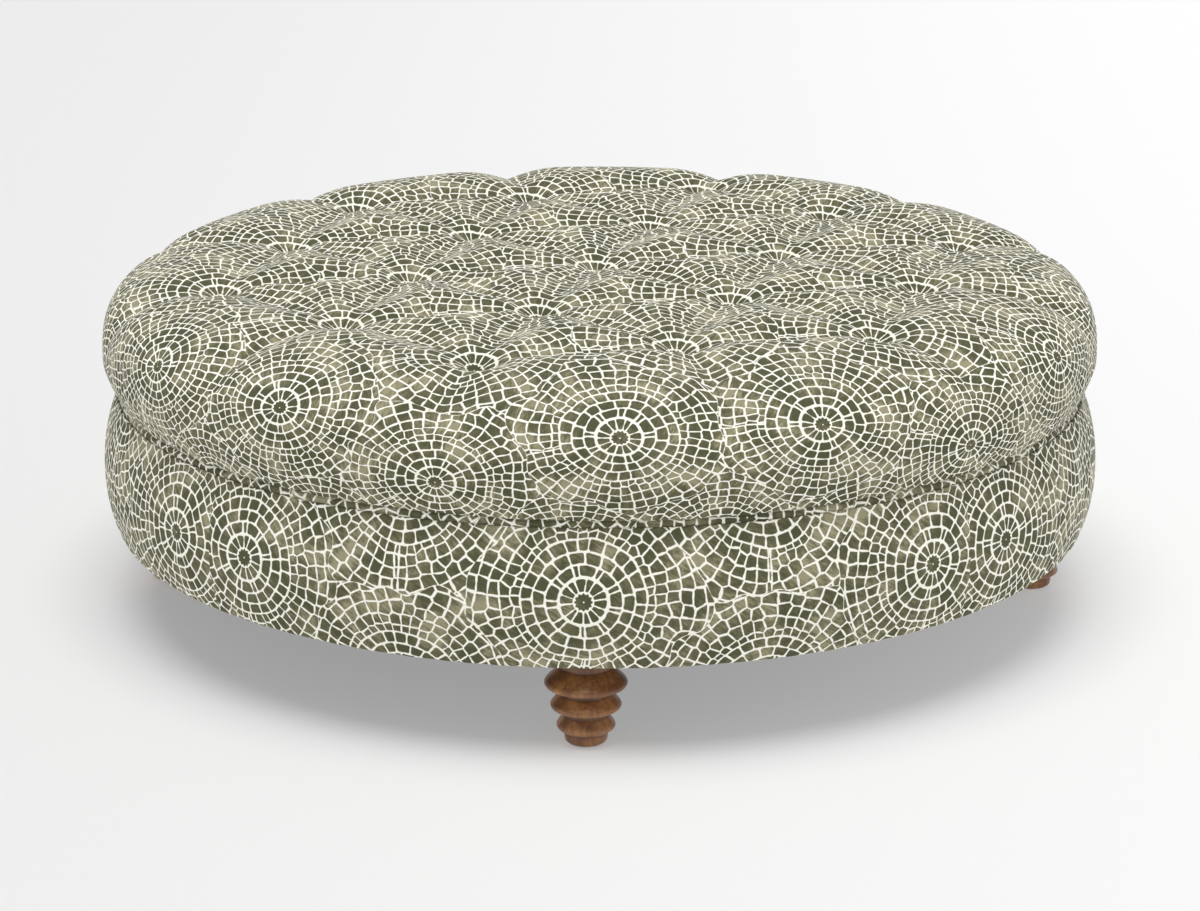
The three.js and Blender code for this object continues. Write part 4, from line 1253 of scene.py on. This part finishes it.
class TUFFET_OT_legs(bpy.types.Operator):
    """Make the four turned legs and finish their glides"""
    bl_idname = "tuffet.legs"
    bl_label = "Legs"

    def execute(self, context):
        sides = 72
        line, darkness = leg_line()
        for side in SIDES:
            low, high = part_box(f"leg_{side}")
            middle = ((low.x + high.x) / 2, (low.y + high.y) / 2)
            turn = np.arange(sides) / sides * math.tau
            vertices = np.stack([
                middle[0] + line[1:, :1] * np.cos(turn),
                middle[1] + line[1:, :1] * np.sin(turn),
                np.repeat(line[1:, 1:] + low.z, sides, 1)], -1).reshape(-1, 3)
            faces = grid_faces(len(line) - 1, sides)
            foot = len(vertices)
            vertices = np.concatenate([vertices, [(*middle, low.z)]])
            faces += [(foot, (column + 1) % sides, column) for column in range(sides)]
            leg = new_piece(f"turned_leg_{side}", "turned_wood", vertices, faces, (f"leg_{side}",))
            # Painted shade in the grooves, stored on the leg's points
            painted_groove_shade = leg.data.attributes.new("painted_groove_shade", "FLOAT", "POINT")
            painted_groove_shade.data.foreach_set("value", [*np.repeat(darkness[1:], sides), darkness[0]])
        refinish(*[f"glide_{side}" for side in SIDES])
        return {"FINISHED"}


class TUFFET_OT_drum(bpy.types.Operator):
    """Finish the wooden drum: its boards, uprights, blocks, side band and tack strip"""
    bl_idname = "tuffet.drum"
    bl_label = "Drum"

    def execute(self, context):
        refinish("seat_deck", "base_board", "side_band", "tack_strip")
        refinish(*[f"upright_{number}" for number in range(1, 9)])
        refinish(*[f"leg_block_{side}" for side in SIDES])
        return {"FINISHED"}


class TUFFET_OT_fasteners(bpy.types.Operator):
    """Finish the hanger bolts and tee nuts"""
    bl_idname = "tuffet.fasteners"
    bl_label = "Fasteners"

    def execute(self, context):
        refinish(*[f"{kind}_{side}" for kind in ("hanger_bolt", "tee_nut") for side in SIDES])
        return {"FINISHED"}


class TUFFET_OT_dust_cover(bpy.types.Operator):
    """Finish the cambric stretched under the drum"""
    bl_idname = "tuffet.dust_cover"
    bl_label = "Dust cover"

    def execute(self, context):
        refinish("dust_cover")
        return {"FINISHED"}


class TUFFET_PT_panel(bpy.types.Panel):
    bl_idname = "TUFFET_PT_panel"
    bl_label = "Tuffet"
    bl_space_type = "VIEW_3D"
    bl_region_type = "UI"
    bl_category = "Tuffet"

    def draw(self, context):
        for group in SETTINGS:
            box = self.layout.box()
            settings = getattr(context.scene, group)
            for name in settings.__annotations__:
                box.prop(settings, name)
        for operator in OPERATORS:
            self.layout.operator(operator.bl_idname)


SETTINGS = {
    "tuffet_cloth": TuffetClothSettings,
    "tuffet_cushion": TuffetCushionSettings,
    "tuffet_border": TuffetBorderSettings,
    "tuffet_leg": TuffetLegSettings,
    "tuffet_stage": TuffetStageSettings,
}
OPERATORS = (
    TUFFET_OT_stage, TUFFET_OT_cushion, TUFFET_OT_ties, TUFFET_OT_border, TUFFET_OT_waist,
    TUFFET_OT_legs, TUFFET_OT_drum, TUFFET_OT_fasteners, TUFFET_OT_dust_cover,
)


def register():
    for group, settings in SETTINGS.items():
        bpy.utils.register_class(settings)
        setattr(bpy.types.Scene, group, bpy.props.PointerProperty(type=settings))
    for operator in OPERATORS:
        bpy.utils.register_class(operator)
    bpy.utils.register_class(TUFFET_PT_panel)


def unregister():
    bpy.utils.unregister_class(TUFFET_PT_panel)
    for operator in reversed(OPERATORS):
        bpy.utils.unregister_class(operator)
    for group, settings in reversed(SETTINGS.items()):
        delattr(bpy.types.Scene, group)
        bpy.utils.unregister_class(settings)


def main():
    register()
    bpy.ops.tuffet.stage()
    bpy.ops.tuffet.cushion()
    bpy.ops.tuffet.ties()
    bpy.ops.tuffet.border()
    bpy.ops.tuffet.waist()
    bpy.ops.tuffet.legs()
    bpy.ops.tuffet.drum()
    bpy.ops.tuffet.fasteners()
    bpy.ops.tuffet.dust_cover()
    sizes = [[list(corner) for corner in bounds] for bounds in (CAD_BOUNDS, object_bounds())]


if __name__ == "__main__":
    main()
